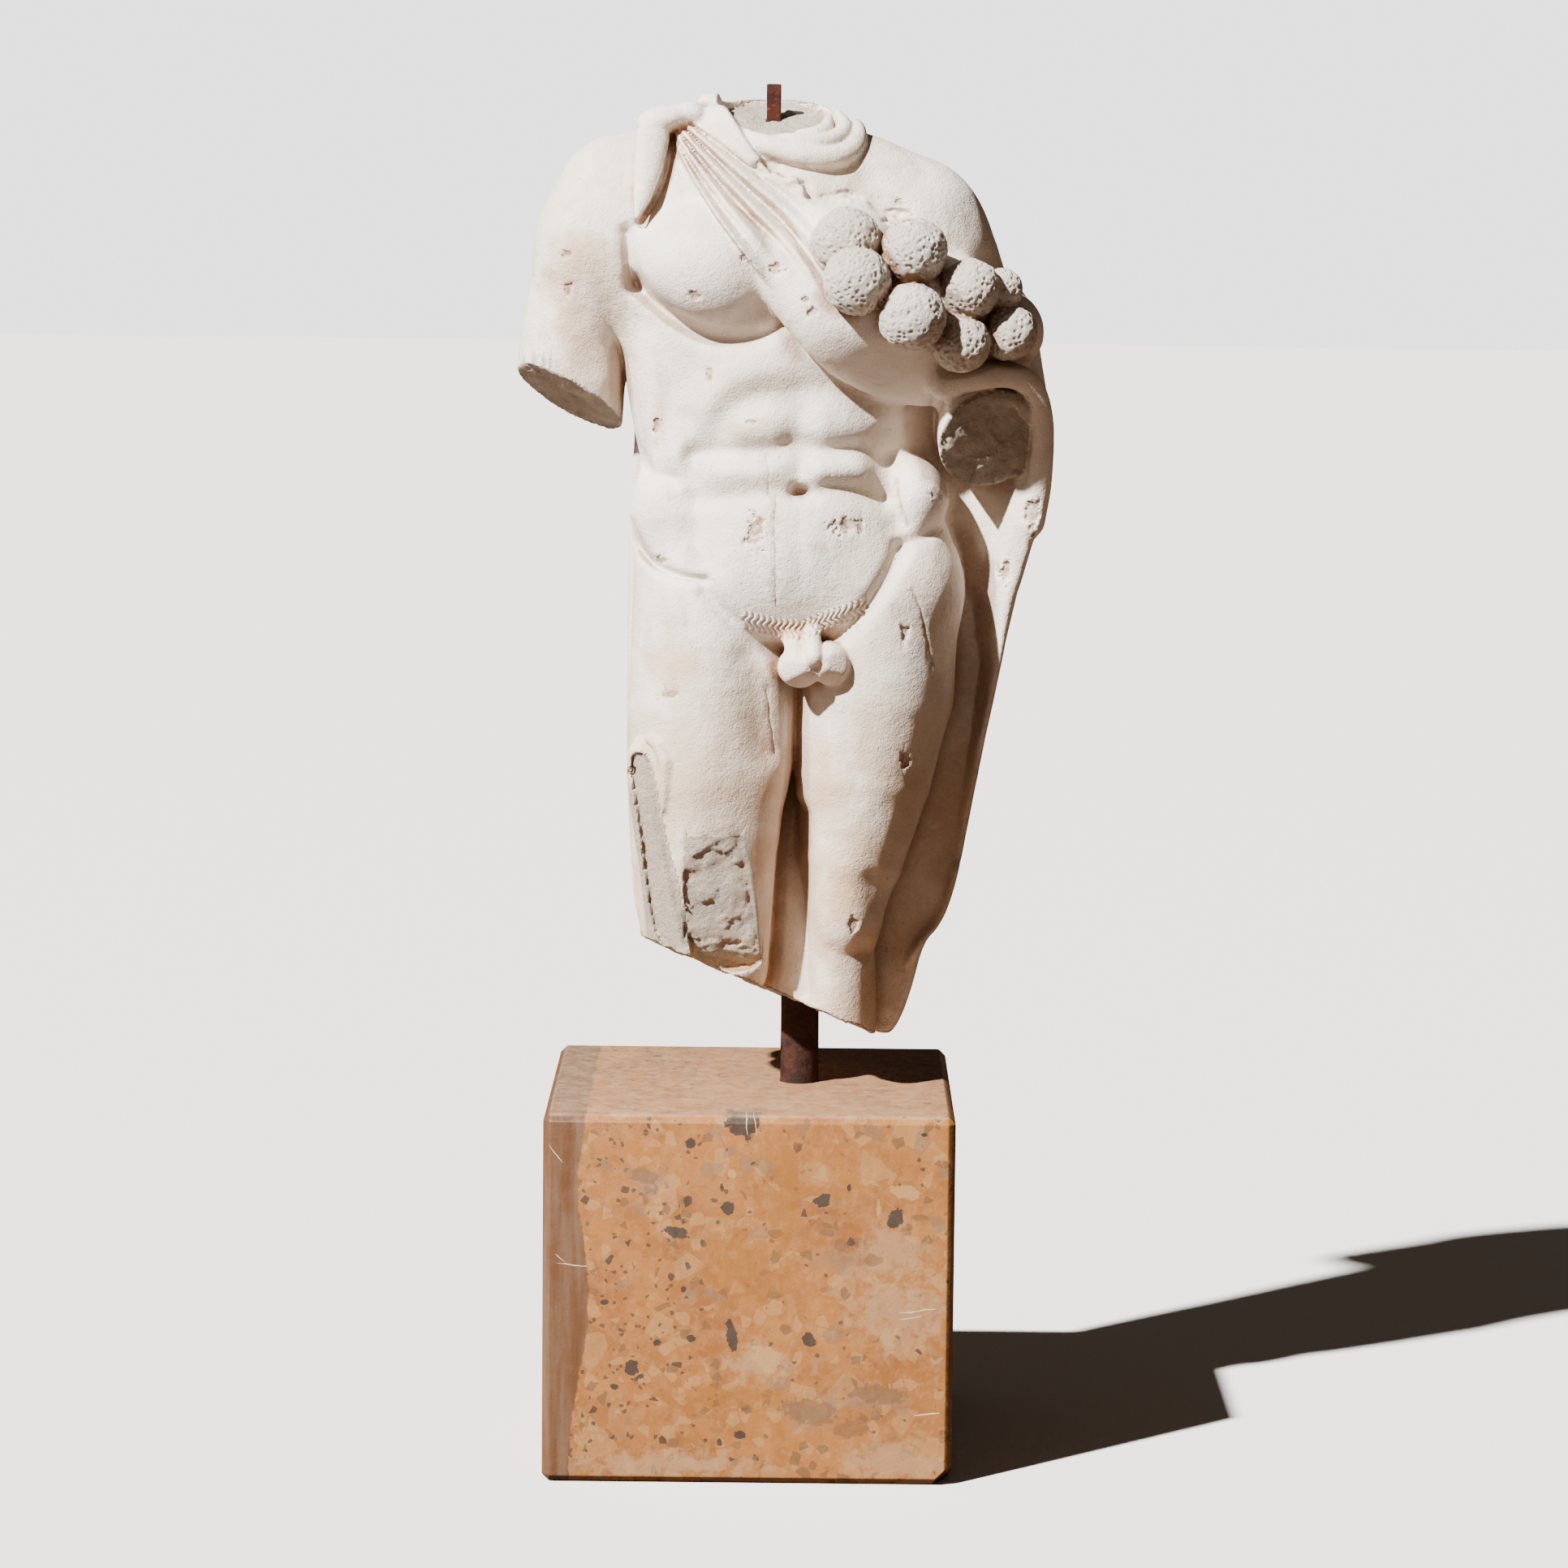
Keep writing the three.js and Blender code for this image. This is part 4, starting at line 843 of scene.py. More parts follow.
def noise(p, size, seed=0):
    """Smooth random values from -1 to 1; size is the distance over which they change."""
    q = p / size
    cell = np.floor(q).astype(np.int64)
    t = q - cell
    t = t * t * (3.0 - 2.0 * t)
    total = np.zeros(len(p))
    for corner in range(8):
        step = np.array([corner & 1, corner >> 1 & 1, corner >> 2 & 1])
        weight = np.prod(np.where(step == 1, t, 1.0 - t), axis=1)
        total += weight * lattice(*(cell + step).T, seed)
    return total * 2.0 - 1.0


def rough(p, size, seed=0):
    """Noise at three sizes, each half of the one before."""
    total = noise(p, size, seed) + 0.5 * noise(p, size / 2, seed + 1)
    return (total + 0.25 * noise(p, size / 4, seed + 2)) / 1.75


def pits(p, size, seed=0):
    """The distance to the nearest of many scattered places, as a share of size."""
    q = p / size
    cell = np.floor(q).astype(np.int64)
    best = np.full(len(p), 9.0)
    for corner in range(27):
        near = cell + np.array([corner % 3 - 1, corner // 3 % 3 - 1, corner // 9 - 1])
        spot = near + np.stack([lattice(*near.T, seed + s) for s in range(3)], axis=1)
        best = np.minimum(best, np.linalg.norm(q - spot, axis=1))
    return best


def facets(p, size, seed=0):
    """Heights of small flat faces, each tilted its own way, as stone breaks."""
    q = p / size
    cell = np.floor(q).astype(np.int64)
    best, height = np.full(len(p), 9.0), np.zeros(len(p))
    for corner in range(27):
        near = cell + np.array([corner % 3 - 1, corner // 3 % 3 - 1, corner // 9 - 1])
        away = q - near - np.stack([lattice(*near.T, seed + s) for s in range(3)], axis=1)
        tilt = np.stack([lattice(*near.T, seed + s) for s in (5, 6, 7)], axis=1) - 0.5
        distance = np.linalg.norm(away, axis=1)
        height = np.where(distance < best, 2.0 * (away * tilt).sum(axis=1), height)
        best = np.minimum(best, distance)
    return height


def points_of(obj):
    """The points of a mesh and their directions outward, as two arrays."""
    count = len(obj.data.vertices)
    places, directions = np.empty(count * 3, np.float32), np.empty(count * 3, np.float32)
    obj.data.vertices.foreach_get("co", places)
    obj.data.vertex_normals.foreach_get("vector", directions)
    return places.reshape(-1, 3).astype(np.float64), directions.reshape(-1, 3).astype(np.float64)


def move_points(obj, places):
    obj.data.vertices.foreach_set("co", places.astype(np.float32).ravel())
    obj.data.update()


skin_points, skin_out = points_of(marble)
skin_points /= MM
x, y, z = skin_points.T
print("the marble faces", np.round(skin_out.mean(axis=0), 3), "on the whole")


def near_only(values_at, points, mask):
    """Works out values only where a mask is not zero, and leaves the rest at zero."""
    values = np.zeros(len(points))
    here = mask > 0
    values[here] = values_at(points[here])
    return values


# %% Roughen the broken faces
BREAKS = [
    (NECK_PLANE, 2.6, lambda: np.hypot(x + 39, y + 4) < 64),
    (ARM_PLANE, 3.4, lambda: x < -196),
    (LOWER_PLANE, 3.6, lambda: z < 150),
    (TIP_PLANE, 2.0, lambda: z < 30),
    (KNEE_PLANE, 3.8, lambda: (x < -34) & (x > -130) & (z < 246) & (z > 100)),
    (KNEE_END_PLANE, 4.0, lambda: (x < -34) & (x > -130) & (z < 160)),
    (STRUT_PLANE, 1.6, lambda: z < 350),
    (FOREARM_PLANE, 4.0, lambda: (abs(x - 198) < 60) & (abs(z - 675) < 60)),
]
broken = np.zeros(len(x))
push = np.zeros(len(x))
for number, ((place, normal), height, near) in enumerate(BREAKS):
    direction = np.array(Vector(normal).normalized())
    distance = (skin_points - np.array(place)) @ direction
    facing = skin_out @ direction
    mask = ramp(4.0, 1.5, abs(distance)) * ramp(0.6, 0.85, facing) * near()
    lumps = near_only(lambda p: 0.8 * rough(p, 26, number) + 0.6 * facets(p, 30, number), skin_points, mask)
    lumps += near_only(lambda p: 0.35 * rough(p, 7, number + 50) - 0.5, skin_points, mask)
    push += mask * height * np.minimum(lumps, 0.2)
    broken = np.maximum(broken, mask)
print("broken faces hold", int((broken > 0.5).sum()), "points")

# %% Chisel the strip where the support broke off, and carve the curls
in_strip = ramp(0.0, 2.5, -look_up(strip_outline, Points(x, y, z))) * ramp(0.1, 0.4, -skin_out[:, 1])
slant = np.stack([x * 0.9 + z * 0.35, y, z * 0.25 - x * 0.1], axis=1)
push -= in_strip * (1.2 + 1.6 * near_only(lambda p: rough(p, 7, 70), slant, in_strip))
broken = np.maximum(broken, in_strip)

drop, curled = below_curl_top(skin_points)
across = (x - 2.6 * np.sin(drop * 0.42) + 0.5 * noise(skin_points, 8, 80)) / CURL_SPACING
wave = np.abs(across - np.floor(across) - 0.5) * 2.0
in_band = ramp(-1.0, 2.5, drop) * ramp(CURL_HEIGHT + 1, CURL_HEIGHT - 2, drop) * curled
push += in_band * (1.2 - CURL_DEPTH * wave ** 2)
print("curls cover", int((in_band > 0.5).sum()), "points, the strip", int((in_strip > 0.5).sum()))

# %% Chip the rim of the pouch and flake the skin
ROUGH_PATCHES = [
    (-47, 976, 20, 9, 4.0), (-11, 958, 16, 8, 4.0), (38, 946, 26, 8, 4.5), (100, 925, 22, 9, 4.5),
]
front = ramp(0.05, 0.35, -skin_out[:, 1])


def flake_mask(points, number):
    """Where one flake is missing: a ragged patch of small pits."""
    name, flake_x, flake_z, half_width, half_height, depth = FLAKES[number]
    away = np.hypot((points[:, 0] - flake_x) / half_width, (points[:, 2] - flake_z) / half_height)
    close = away < 1.7
    mask = np.zeros(len(points))
    mask[close] = ramp(0.12, 0.34, 1.0 - away[close] + 0.75 * rough(points[close], 5.5, number + 100))
    return mask


for number, flake in enumerate(FLAKES):
    push -= flake[-1] * flake_mask(skin_points, number) * front
for line in CRACKS:
    away = line_distance(line, x + 1.2 * noise(skin_points, 9, 90), z)
    push -= 0.7 * ramp(1.2, 0.3, away) * front * (y < -40)
for number, (fx, fz, half_width, half_height, depth) in enumerate(ROUGH_PATCHES):
    away = np.hypot((x - fx) / half_width, (z - fz) / half_height)
    away += 0.3 * near_only(lambda p: noise(p, 9, number + 200), skin_points, away < 2.0)
    mask = ramp(1.0, 0.7, away) * ramp(-0.2, 0.2, -skin_out[:, 1]) * (y < 0)
    push -= depth * mask * (0.7 + 0.6 * near_only(lambda p: rough(p, 9, number + 210), skin_points, mask))
    broken = np.maximum(broken, mask)

fruit_points = np.array([f[:3] for f in FRUITS], float)
fruit_radii = np.array([f[3] for f in FRUITS], float)
fruit_gap = np.abs(np.linalg.norm(skin_points[:, None, :] - fruit_points, axis=2) - fruit_radii).min(axis=1)
on_fruit = ramp(2.5, 1.0, fruit_gap) * (z > 760)
push -= on_fruit * 1.7 * ramp(0.52, 0.16, near_only(lambda p: pits(p, 6.0, 7), skin_points, on_fruit))
push += on_fruit * 1.9 * near_only(lambda p: rough(p, 10, 8), skin_points, on_fruit)
push += 0.5 * noise(skin_points, 26, 300) * (1.0 - broken)
move_points(marble, (skin_points + skin_out * push[:, None]) * MM)
print("deepest mark", round(float(-push.min()), 1), "mm; fruit covers", int((on_fruit > 0.5).sum()), "points")

# %% [markdown]
# The number of faces
#
# The grid gives far more faces than the piece may have, and most lie on smooth skin where few are needed.
# The Decimate modifier removes those that change the shape least. The sockets for the two irons are cut
# afterwards.

# %% Thin the mesh and cut the two sockets
MARBLE_TRIANGLES = 192000
SOCKET_GAP = 0.0004


def apply_modifier(obj, kind, **settings):
    """Adds one modifier, sets it and applies it."""
    modifier = obj.modifiers.new(kind.lower(), kind)
    for key, value in settings.items():
        setattr(modifier, key, value)
    only(obj)
    bpy.ops.object.modifier_apply(modifier=modifier.name)


def cut_box(target, low, high, gap):
    """Cuts a box-shaped socket, a little wider than the iron that goes into it."""
    size = [b - a + 2 * gap for a, b in zip(low, high)]
    bpy.ops.object.select_all(action="DESELECT")
    bpy.ops.mesh.primitive_cube_add(size=1, location=[(a + b) / 2 for a, b in zip(low, high)], scale=size)
    take_away(target, bpy.context.object)


def cut_round(target, low, high, gap):
    """Cuts a round socket for an upright post."""
    radius = (high[0] - low[0]) / 2 + gap
    centre = [(a + b) / 2 for a, b in zip(low, high)]
    depth = high[2] - low[2] + 2 * gap
    bpy.ops.object.select_all(action="DESELECT")
    bpy.ops.mesh.primitive_cylinder_add(vertices=48, radius=radius, depth=depth, location=centre)
    take_away(target, bpy.context.object)


def take_away(target, tool):
    apply_modifier(target, "BOOLEAN", object=tool, operation="DIFFERENCE", solver="EXACT")
    bpy.data.objects.remove(tool)


def triangles_of(obj):
    return sum(len(face.vertices) - 2 for face in obj.data.polygons)


marble.data.transform(Matrix.Translation(FIGURE_ORIGIN))
ratio = MARBLE_TRIANGLES / triangles_of(marble)
apply_modifier(marble, "TRIANGULATE")
apply_modifier(marble, "DECIMATE", ratio=ratio)
cut_round(marble, post_low, post_high, SOCKET_GAP)
cut_box(marble, bar_low, bar_high, SOCKET_GAP)
print("the marble has", triangles_of(marble), "triangles")

# %% [markdown]
# What the material needs to know
#
# Dirt gathers where rain and hands don't reach, and shade falls in the same hollows; the material paints
# both, so it needs to know how deep in a hollow each point lies. The distances answer that: a little
# outside a bulge the distance grows as fast as one moves, and inside a fold it doesn't. Five measures are
# kept on the mesh as attributes: hollow, shelter, broken, worn and fruit.

# %% Measure the hollows and keep the marks on the mesh
def keep(obj, name, values):
    attribute = obj.data.attributes.new(name, "FLOAT", "POINT")
    attribute.data.foreach_set("value", values.astype(np.float32))


def hollow(places, directions, reach):
    """How much closer than expected other stone is, from 0 in the open to 1 in a deep fold."""
    ahead = places + directions * reach
    order = np.argsort(ahead[:, 2])
    distance = np.empty(len(ahead))
    distance[order] = read_points(*ahead[order].T.astype(np.float32))
    return np.clip(1.0 - distance / reach, 0.0, 1.0)


places, directions = points_of(marble)
places = (places - FIGURE_ORIGIN) / MM
near_hollow = hollow(places, directions, 8.0)
wide_hollow = hollow(places, directions, 36.0)
keep(marble, "hollow", near_hollow)
keep(marble, "shelter", wide_hollow)
fruit_gap = np.abs(np.linalg.norm(places[:, None, :] - fruit_points, axis=2) - fruit_radii).min(axis=1)
keep(marble, "fruit", ramp(4.0, 2.0, fruit_gap) * (places[:, 2] > 760))
on_break = np.zeros(len(places))
for (place, normal), _, near in BREAKS:
    x, y, z = places.T
    direction = np.array(Vector(normal).normalized())
    distance = (places - np.array(place)) @ direction
    facing = ramp(0.45, 0.75, directions @ direction)
    on_break = np.maximum(on_break, ramp(8.0, 4.0, abs(distance)) * facing * near())
x, y, z = places.T
worn = np.zeros(len(places))
for number in range(len(FLAKES)):
    worn = np.maximum(worn, flake_mask(places, number) * (y < 0))
for line in CRACKS:
    worn = np.maximum(worn, 0.7 * ramp(2.2, 0.8, line_distance(line, x, z)) * (y < -40))
keep(marble, "worn", worn)
keep(marble, "broken", np.maximum(on_break, ramp(0, 2, -look_up(strip_outline, Points(x, y, z))) * (y < 0)))
print("hollow on average", round(float(near_hollow.mean()), 3), "and", round(float(wide_hollow.mean()), 3))

# %% Shade the marble smooth and let it stand for its node
only(marble)
bpy.ops.object.shade_smooth()
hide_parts("marble_torso")
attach(marble, "root")

# %% [markdown]
# The material of old marble
#
# The stone is warm white with a faint grey cloud. Rust-coloured stains run in the hollows and on the
# broken faces, and grey dirt lies on the roughest places. In the hollows and folds these orange, brown and
# grey colours are partly painted shade, and two orange spots paint shade on the right arm. A bump at four
# sizes gives the sugary grain and the small pits of weathered marble. Marble also lets a little light in,
# which softens the edges of the shadows.

# %% Define helpers for building materials
class Recipe:
    """Adds nodes to one material and joins them, each with its inputs given by name or number."""

    def __init__(self, name):
        self.material, self.shader = new_material(name)
        self.tree = self.material.node_tree
        self.place = self.add("ShaderNodeTexCoord").outputs["Object"]

    def add(self, kind, settings=None, **inputs):
        node = self.tree.nodes.new(kind)
        for key, value in (settings or {}).items():
            setattr(node, key, value)
        for key, value in inputs.items():
            self.join(node.inputs[key.replace("_", " ")], value)
        return node

    def join(self, socket, value):
        if isinstance(value, bpy.types.NodeSocket):
            self.tree.links.new(value, socket)
        else:
            socket.default_value = value

    def attribute(self, name):
        return self.add("ShaderNodeAttribute", {"attribute_name": name}).outputs["Fac"]

    def noise(self, scale, detail=4.0, roughness=0.55, where=None, distortion=0.0):
        node = self.add("ShaderNodeTexNoise", Vector=where or self.place, Scale=scale, Detail=detail,
                        Roughness=roughness, Distortion=distortion)
        return node.outputs["Fac"]

    def voronoi(self, scale, feature="F1", output="Distance", where=None, randomness=1.0):
        node = self.add("ShaderNodeTexVoronoi", {"feature": feature}, Vector=where or self.place, Scale=scale,
                        Randomness=randomness)
        return node.outputs[output]

    def steps(self, value, low, high, start=0.0, end=1.0):
        """Takes a value from low..high to start..end, smoothly, and stops at both ends."""
        settings = {"interpolation_type": "SMOOTHSTEP"}
        node = self.add("ShaderNodeMapRange", settings, Value=value)
        for key, number in (("From Min", low), ("From Max", high), ("To Min", start), ("To Max", end)):
            self.join(node.inputs[key], number)
        return node.outputs["Result"]

    def maths(self, operation, a, b=0.0, c=0.0):
        node = self.add("ShaderNodeMath", {"operation": operation})
        for socket, value in zip(node.inputs, (a, b, c)):
            self.join(socket, value)
        return node.outputs[0]

    def far_from(self, name, location, scale):
        """How far each place lies from a spot: 0 at its middle and 1 at its rim."""
        mapping = self.add("ShaderNodeMapping", {"vector_type": "TEXTURE", "label": name}, Vector=self.place)
        self.join(mapping.inputs["Location"], location)
        self.join(mapping.inputs["Scale"], scale)
        length = self.add("ShaderNodeVectorMath", {"operation": "LENGTH"}, Vector=mapping.outputs[0])
        return length.outputs["Value"]

    def blend(self, amount, below, above):
        """Lays one colour over another."""
        node = self.add("ShaderNodeMix", {"data_type": "RGBA"})
        for socket, value in ((node.inputs[0], amount), (node.inputs[6], below), (node.inputs[7], above)):
            self.join(socket, (*value, 1.0) if isinstance(value, tuple) and len(value) == 3 else value)
        return node.outputs[2]

    def bump(self, heights, strength=1.0):
        """Bumps, from (height socket, depth in metres) pairs, one over the other."""
        normal = None
        for height, depth in heights:
            node = self.add("ShaderNodeBump", Height=height, Distance=depth, Strength=strength)
            if normal:
                self.join(node.inputs["Normal"], normal)
            normal = node.outputs["Normal"]
        self.join(self.shader.inputs["Normal"], normal)

    def finish(self, colour, roughness):
        self.join(self.shader.inputs["Base Color"], colour)
        self.join(self.shader.inputs["Roughness"], roughness)
        return self.material


# %% Mix the marble
MARBLE_WHITE = (0.76, 0.66, 0.56)
MARBLE_PALE = (0.88, 0.83, 0.78)
MARBLE_WARM = (0.55, 0.40, 0.28)
MARBLE_GREY = (0.50, 0.455, 0.40)
# The orange and the brown are stain colours, and are also used for painted shade in hollows and on the arm.
STAIN_AND_SHADE_ORANGE = (0.52, 0.27, 0.11)
STAIN_AND_SHADE_BROWN = (0.27, 0.145, 0.075)
BREAK_GREY = (0.50, 0.43, 0.35)
SPOT_Y = -100.0
SPOT_DEPTH = 160.0
# Orange spots: real stains, except "arm" and "upper arm", which are painted shade on the right arm.
STAIN_AND_SHADE_SPOTS = [
    ("ribs", -78, 692, 20, 16), ("arch", -50, 700, 16, 12), ("belly", 15, 566, 14, 10),
    ("flank", -160, 720, 14, 50), ("groin", -30, 470, 30, 10), ("thigh", 20, 300, 30, 60),
    ("shin", 40, 180, 24, 40), ("left thigh", -150, 430, 30, 50), ("arm", -240, 800, 56, 90),
    ("inner thigh", -40, 330, 16, 80), ("upper arm", -270, 850, 44, 80),
]

stone = Recipe("weathered_marble")
hollow_fold, shelter = stone.attribute("hollow"), stone.attribute("shelter")
break_mask, fruit_mask, worn_mask = [stone.attribute(name) for name in ("broken", "fruit", "worn")]
cloud = stone.noise(7.0, 5.0, 0.6)
patch = stone.noise(21.0, 5.0, 0.62)
speck = stone.noise(110.0, 4.0, 0.65)
grit = stone.noise(420.0, 3.0, 0.6)

colour = stone.blend(stone.steps(cloud, 0.35, 0.68), MARBLE_WHITE, MARBLE_PALE)
colour = stone.blend(stone.steps(patch, 0.52, 0.74, 0.0, 0.45), colour, MARBLE_GREY)
figure_sides = stone.add("ShaderNodeSeparateXYZ", Vector=stone.place)
low_on_figure = stone.steps(figure_sides.outputs[2], 1.05, 0.70, 0.0, 0.9)
warm_noise = stone.noise(12.0, 5.0, 0.6, None, 0.6)
warm_place = stone.maths("MULTIPLY", low_on_figure, stone.steps(warm_noise, 0.30, 0.62, 0.35, 1.0))
colour = stone.blend(warm_place, colour, MARBLE_WARM)
streaky = stone.add("ShaderNodeMapping", Vector=stone.place)
streaky.inputs["Scale"].default_value = (30.0, 30.0, 5.0)
streak_noise = stone.noise(1.0, 5.0, 0.65, streaky.outputs[0], 0.4)
colour = stone.blend(stone.steps(streak_noise, 0.54, 0.74, 0.0, 0.35), colour, MARBLE_WARM)
# Lay the orange spots: stains, and painted shade on the right arm.
for name, spot_x, spot_z, half_width, half_height in STAIN_AND_SHADE_SPOTS:
    middle = FIGURE_ORIGIN + np.array([spot_x, SPOT_Y, spot_z]) * MM
    far = stone.far_from(name, middle, (half_width * MM, SPOT_DEPTH * MM, half_height * MM))
    far = stone.maths("ADD", far, stone.steps(patch, 0.3, 0.7, 0.45, -0.45))
    colour = stone.blend(stone.steps(far, 1.1, 0.3, 0.0, 0.34), colour, STAIN_AND_SHADE_ORANGE)
# Grey in sheltered places: dirt and painted shade.
dirt_and_shade_place = stone.maths("MULTIPLY", stone.steps(shelter, 0.30, 0.75), stone.steps(patch, 0.38, 0.62))
colour = stone.blend(stone.maths("MULTIPLY", dirt_and_shade_place, 0.55), colour, MARBLE_GREY)
# Orange in the small hollows: stain and painted shade.
stain_and_shade_place = stone.maths("MULTIPLY", stone.steps(hollow_fold, 0.22, 0.7), stone.steps(cloud, 0.36, 0.60))
colour = stone.blend(stone.maths("MULTIPLY", stain_and_shade_place, 0.75), colour, STAIN_AND_SHADE_ORANGE)
# Brown in the deepest folds: painted shade, with some stain.
deep_place = stone.maths("MULTIPLY", stone.steps(hollow_fold, 0.55, 0.95), stone.steps(patch, 0.35, 0.6))
colour = stone.blend(stone.maths("MULTIPLY", deep_place, 0.7), colour, STAIN_AND_SHADE_BROWN)
# Brown where the stone is most sheltered, as between the legs, behind the cloak and in the armpit: painted
# shade.
painted_recess_shade = stone.steps(shelter, 0.60, 0.95, 0.0, 0.55)
colour = stone.blend(painted_recess_shade, colour, STAIN_AND_SHADE_BROWN)
break_place = stone.maths("MULTIPLY", break_mask, stone.steps(patch, 0.3, 0.6, 0.3, 0.9))
colour = stone.blend(break_place, colour, BREAK_GREY)
worn_place = stone.maths("MULTIPLY", worn_mask, stone.steps(speck, 0.40, 0.60, 0.25, 0.85))
colour = stone.blend(worn_place, colour, STAIN_AND_SHADE_BROWN)
colour = stone.blend(stone.steps(speck, 0.64, 0.74, 0.0, 0.5), colour, STAIN_AND_SHADE_BROWN)

small_pits = stone.steps(stone.voronoi(170.0), 0.0, 0.22)
rough_mask = stone.maths("MAXIMUM", break_mask, fruit_mask)
stone.bump([
    (stone.maths("MULTIPLY", stone.noise(150.0, 6.0, 0.75), rough_mask), 0.0075),
    (stone.noise(55.0, 5.0, 0.65), 0.0022),
    (small_pits, 0.0005),
    (grit, 0.0009),
])
stone.shader.inputs["Subsurface Weight"].default_value = 0.06
stone.shader.inputs["Subsurface Radius"].default_value = (0.008, 0.005, 0.003)
stone.shader.inputs["Specular IOR Level"].default_value = 0.35
marble.data.materials.clear()
marble.data.materials.append(stone.finish(colour, stone.steps(patch, 0.3, 0.7, 0.55, 0.78)))
print("weathered marble has", len(stone.tree.nodes), "nodes")

# %% [markdown]
# The block
#
# The block is sawn and polished breccia with its edges taken off, so a cube with bevelled edges is the
# right start. Its front lower corner at the viewer's right has broken off, which a slanted bisect cuts
# away. The hole for the post is drilled from above.

# %% Model the block
CHAMFER = 0.008
BLOCK_EDGE_SOFT = 0.0012
CORNER_PLACE = (block_high[0] - 0.010, block_low[1] + 0.004, block_low[2] + 0.014)
CORNER_OUT = (0.66, -0.35, -0.66)

bpy.ops.object.select_all(action="DESELECT")
block_size = [b - a for a, b in zip(block_low, block_high)]
block_middle = [(a + b) / 2 for a, b in zip(block_low, block_high)]
bpy.ops.mesh.primitive_cube_add(size=1, location=block_middle, scale=block_size)
block = bpy.context.object
block.name = "breccia_block"
bpy.ops.object.transform_apply(location=True, rotation=True, scale=True)
apply_modifier(block, "BEVEL", width=CHAMFER, segments=1, limit_method="NONE")
apply_modifier(block, "BEVEL", width=BLOCK_EDGE_SOFT, segments=3, limit_method="ANGLE", angle_limit=0.5)
only(block)
bpy.ops.object.mode_set(mode="EDIT")
bpy.ops.mesh.select_all(action="SELECT")
bpy.ops.mesh.bisect(plane_co=CORNER_PLACE, plane_no=CORNER_OUT, use_fill=True, clear_outer=True)
bpy.ops.object.mode_set(mode="OBJECT")
cut_round(block, post_low, post_high, SOCKET_GAP)
print("the block has", len(block.data.polygons), "faces")

# %% Finish the block's edges and let it stand for its node
only(block)
bpy.ops.object.shade_smooth_by_angle(angle=math.radians(24))
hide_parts("plinth")
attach(block, "root")

# %% [markdown]
# The material of breccia
#
# Breccia is broken stone that nature has glued together again: angular bits of every size in a tan
# ground. So the material lays several sizes of Voronoi cells over each other, each with its own share of
# bits and its own colours. The largest dark bits are placed one by one, because the eye remembers them. A
# grey smooth band with thin white veins runs up the left side.

# %% Mix the ground and the small bits
GROUND_TAN = (0.220, 0.080, 0.021)
GROUND_OCHRE = (0.30, 0.118, 0.030)
GROUND_RED = (0.20, 0.056, 0.013)
GROUND_ORANGE = (0.235, 0.090, 0.016)
CLOUD_PALE = (0.34, 0.20, 0.105)
CLOUD_GREY = (0.185, 0.110, 0.070)
BIT_CREAM = (0.37, 0.205, 0.086)
BIT_DARK = (0.032, 0.026, 0.022)
BIT_BROWN = (0.13, 0.068, 0.030)
BIT_GREY = (0.16, 0.098, 0.062)
BAND_GREY = (0.100, 0.043, 0.018)
BAND_DARK = (0.062, 0.028, 0.013)
VEIN_WHITE = (0.62, 0.52, 0.42)
PAINTED_SHEEN_PALE = (0.42, 0.29, 0.20)

rock = Recipe("polished_breccia")
warp_amount = 0.007
warp = rock.add("ShaderNodeTexNoise", Vector=rock.place, Scale=40.0, Detail=3.0)
shifted = rock.add("ShaderNodeVectorMath", {"operation": "MULTIPLY_ADD"})
rock.join(shifted.inputs[0], warp.outputs["Color"])
rock.join(shifted.inputs[1], (warp_amount, warp_amount, warp_amount))
rock.join(shifted.inputs[2], rock.place)
warped = shifted.outputs[0]


def stretched(x_scale, y_scale, z_scale):
    """The place on the block, stretched, for patterns that run one way."""
    mapping = rock.add("ShaderNodeMapping", Vector=rock.place)
    rock.join(mapping.inputs["Scale"], (x_scale, y_scale, z_scale))
    return mapping.outputs[0]


colour = rock.blend(rock.steps(rock.noise(11.0, 6.0, 0.65), 0.36, 0.66), GROUND_TAN, GROUND_OCHRE)
runs = rock.noise(1.0, 4.0, 0.55, stretched(20.0, 20.0, 1.8))
colour = rock.blend(rock.steps(runs, 0.50, 0.64, 0.0, 0.5), colour, GROUND_ORANGE)
colour = rock.blend(rock.steps(rock.noise(75.0, 6.0, 0.75), 0.42, 0.70, 0.0, 0.40), colour, BIT_CREAM)
colour = rock.blend(rock.steps(rock.noise(48.0, 5.0, 0.75), 0.58, 0.70, 0.0, 0.55), colour, GROUND_RED)


sides = rock.add("ShaderNodeSeparateXYZ", Vector=rock.place)
rarer_right = rock.steps(sides.outputs[0], -0.11, 0.02, 0.0, 0.03)


def bits(size, share, colour_below, colour_bit, strength=0.9, where=None, edge=0.035, rarer=None):
    """Angular bits of one size: only the cells whose random value is below the share are coloured."""
    scale = 1.0 / size
    pick = rock.add("ShaderNodeSeparateColor", Color=rock.voronoi(scale, output="Color", where=where))
    chance = rock.maths("ADD", pick.outputs[0], rarer) if rarer else pick.outputs[0]
    chosen = rock.steps(chance, share, share - 0.01)
    inside = rock.steps(rock.voronoi(scale, "DISTANCE_TO_EDGE", where=where), edge, edge * 2.0)
    amount = rock.maths("MULTIPLY", rock.maths("MULTIPLY", chosen, inside), strength)
    return rock.blend(amount, colour_below, colour_bit)


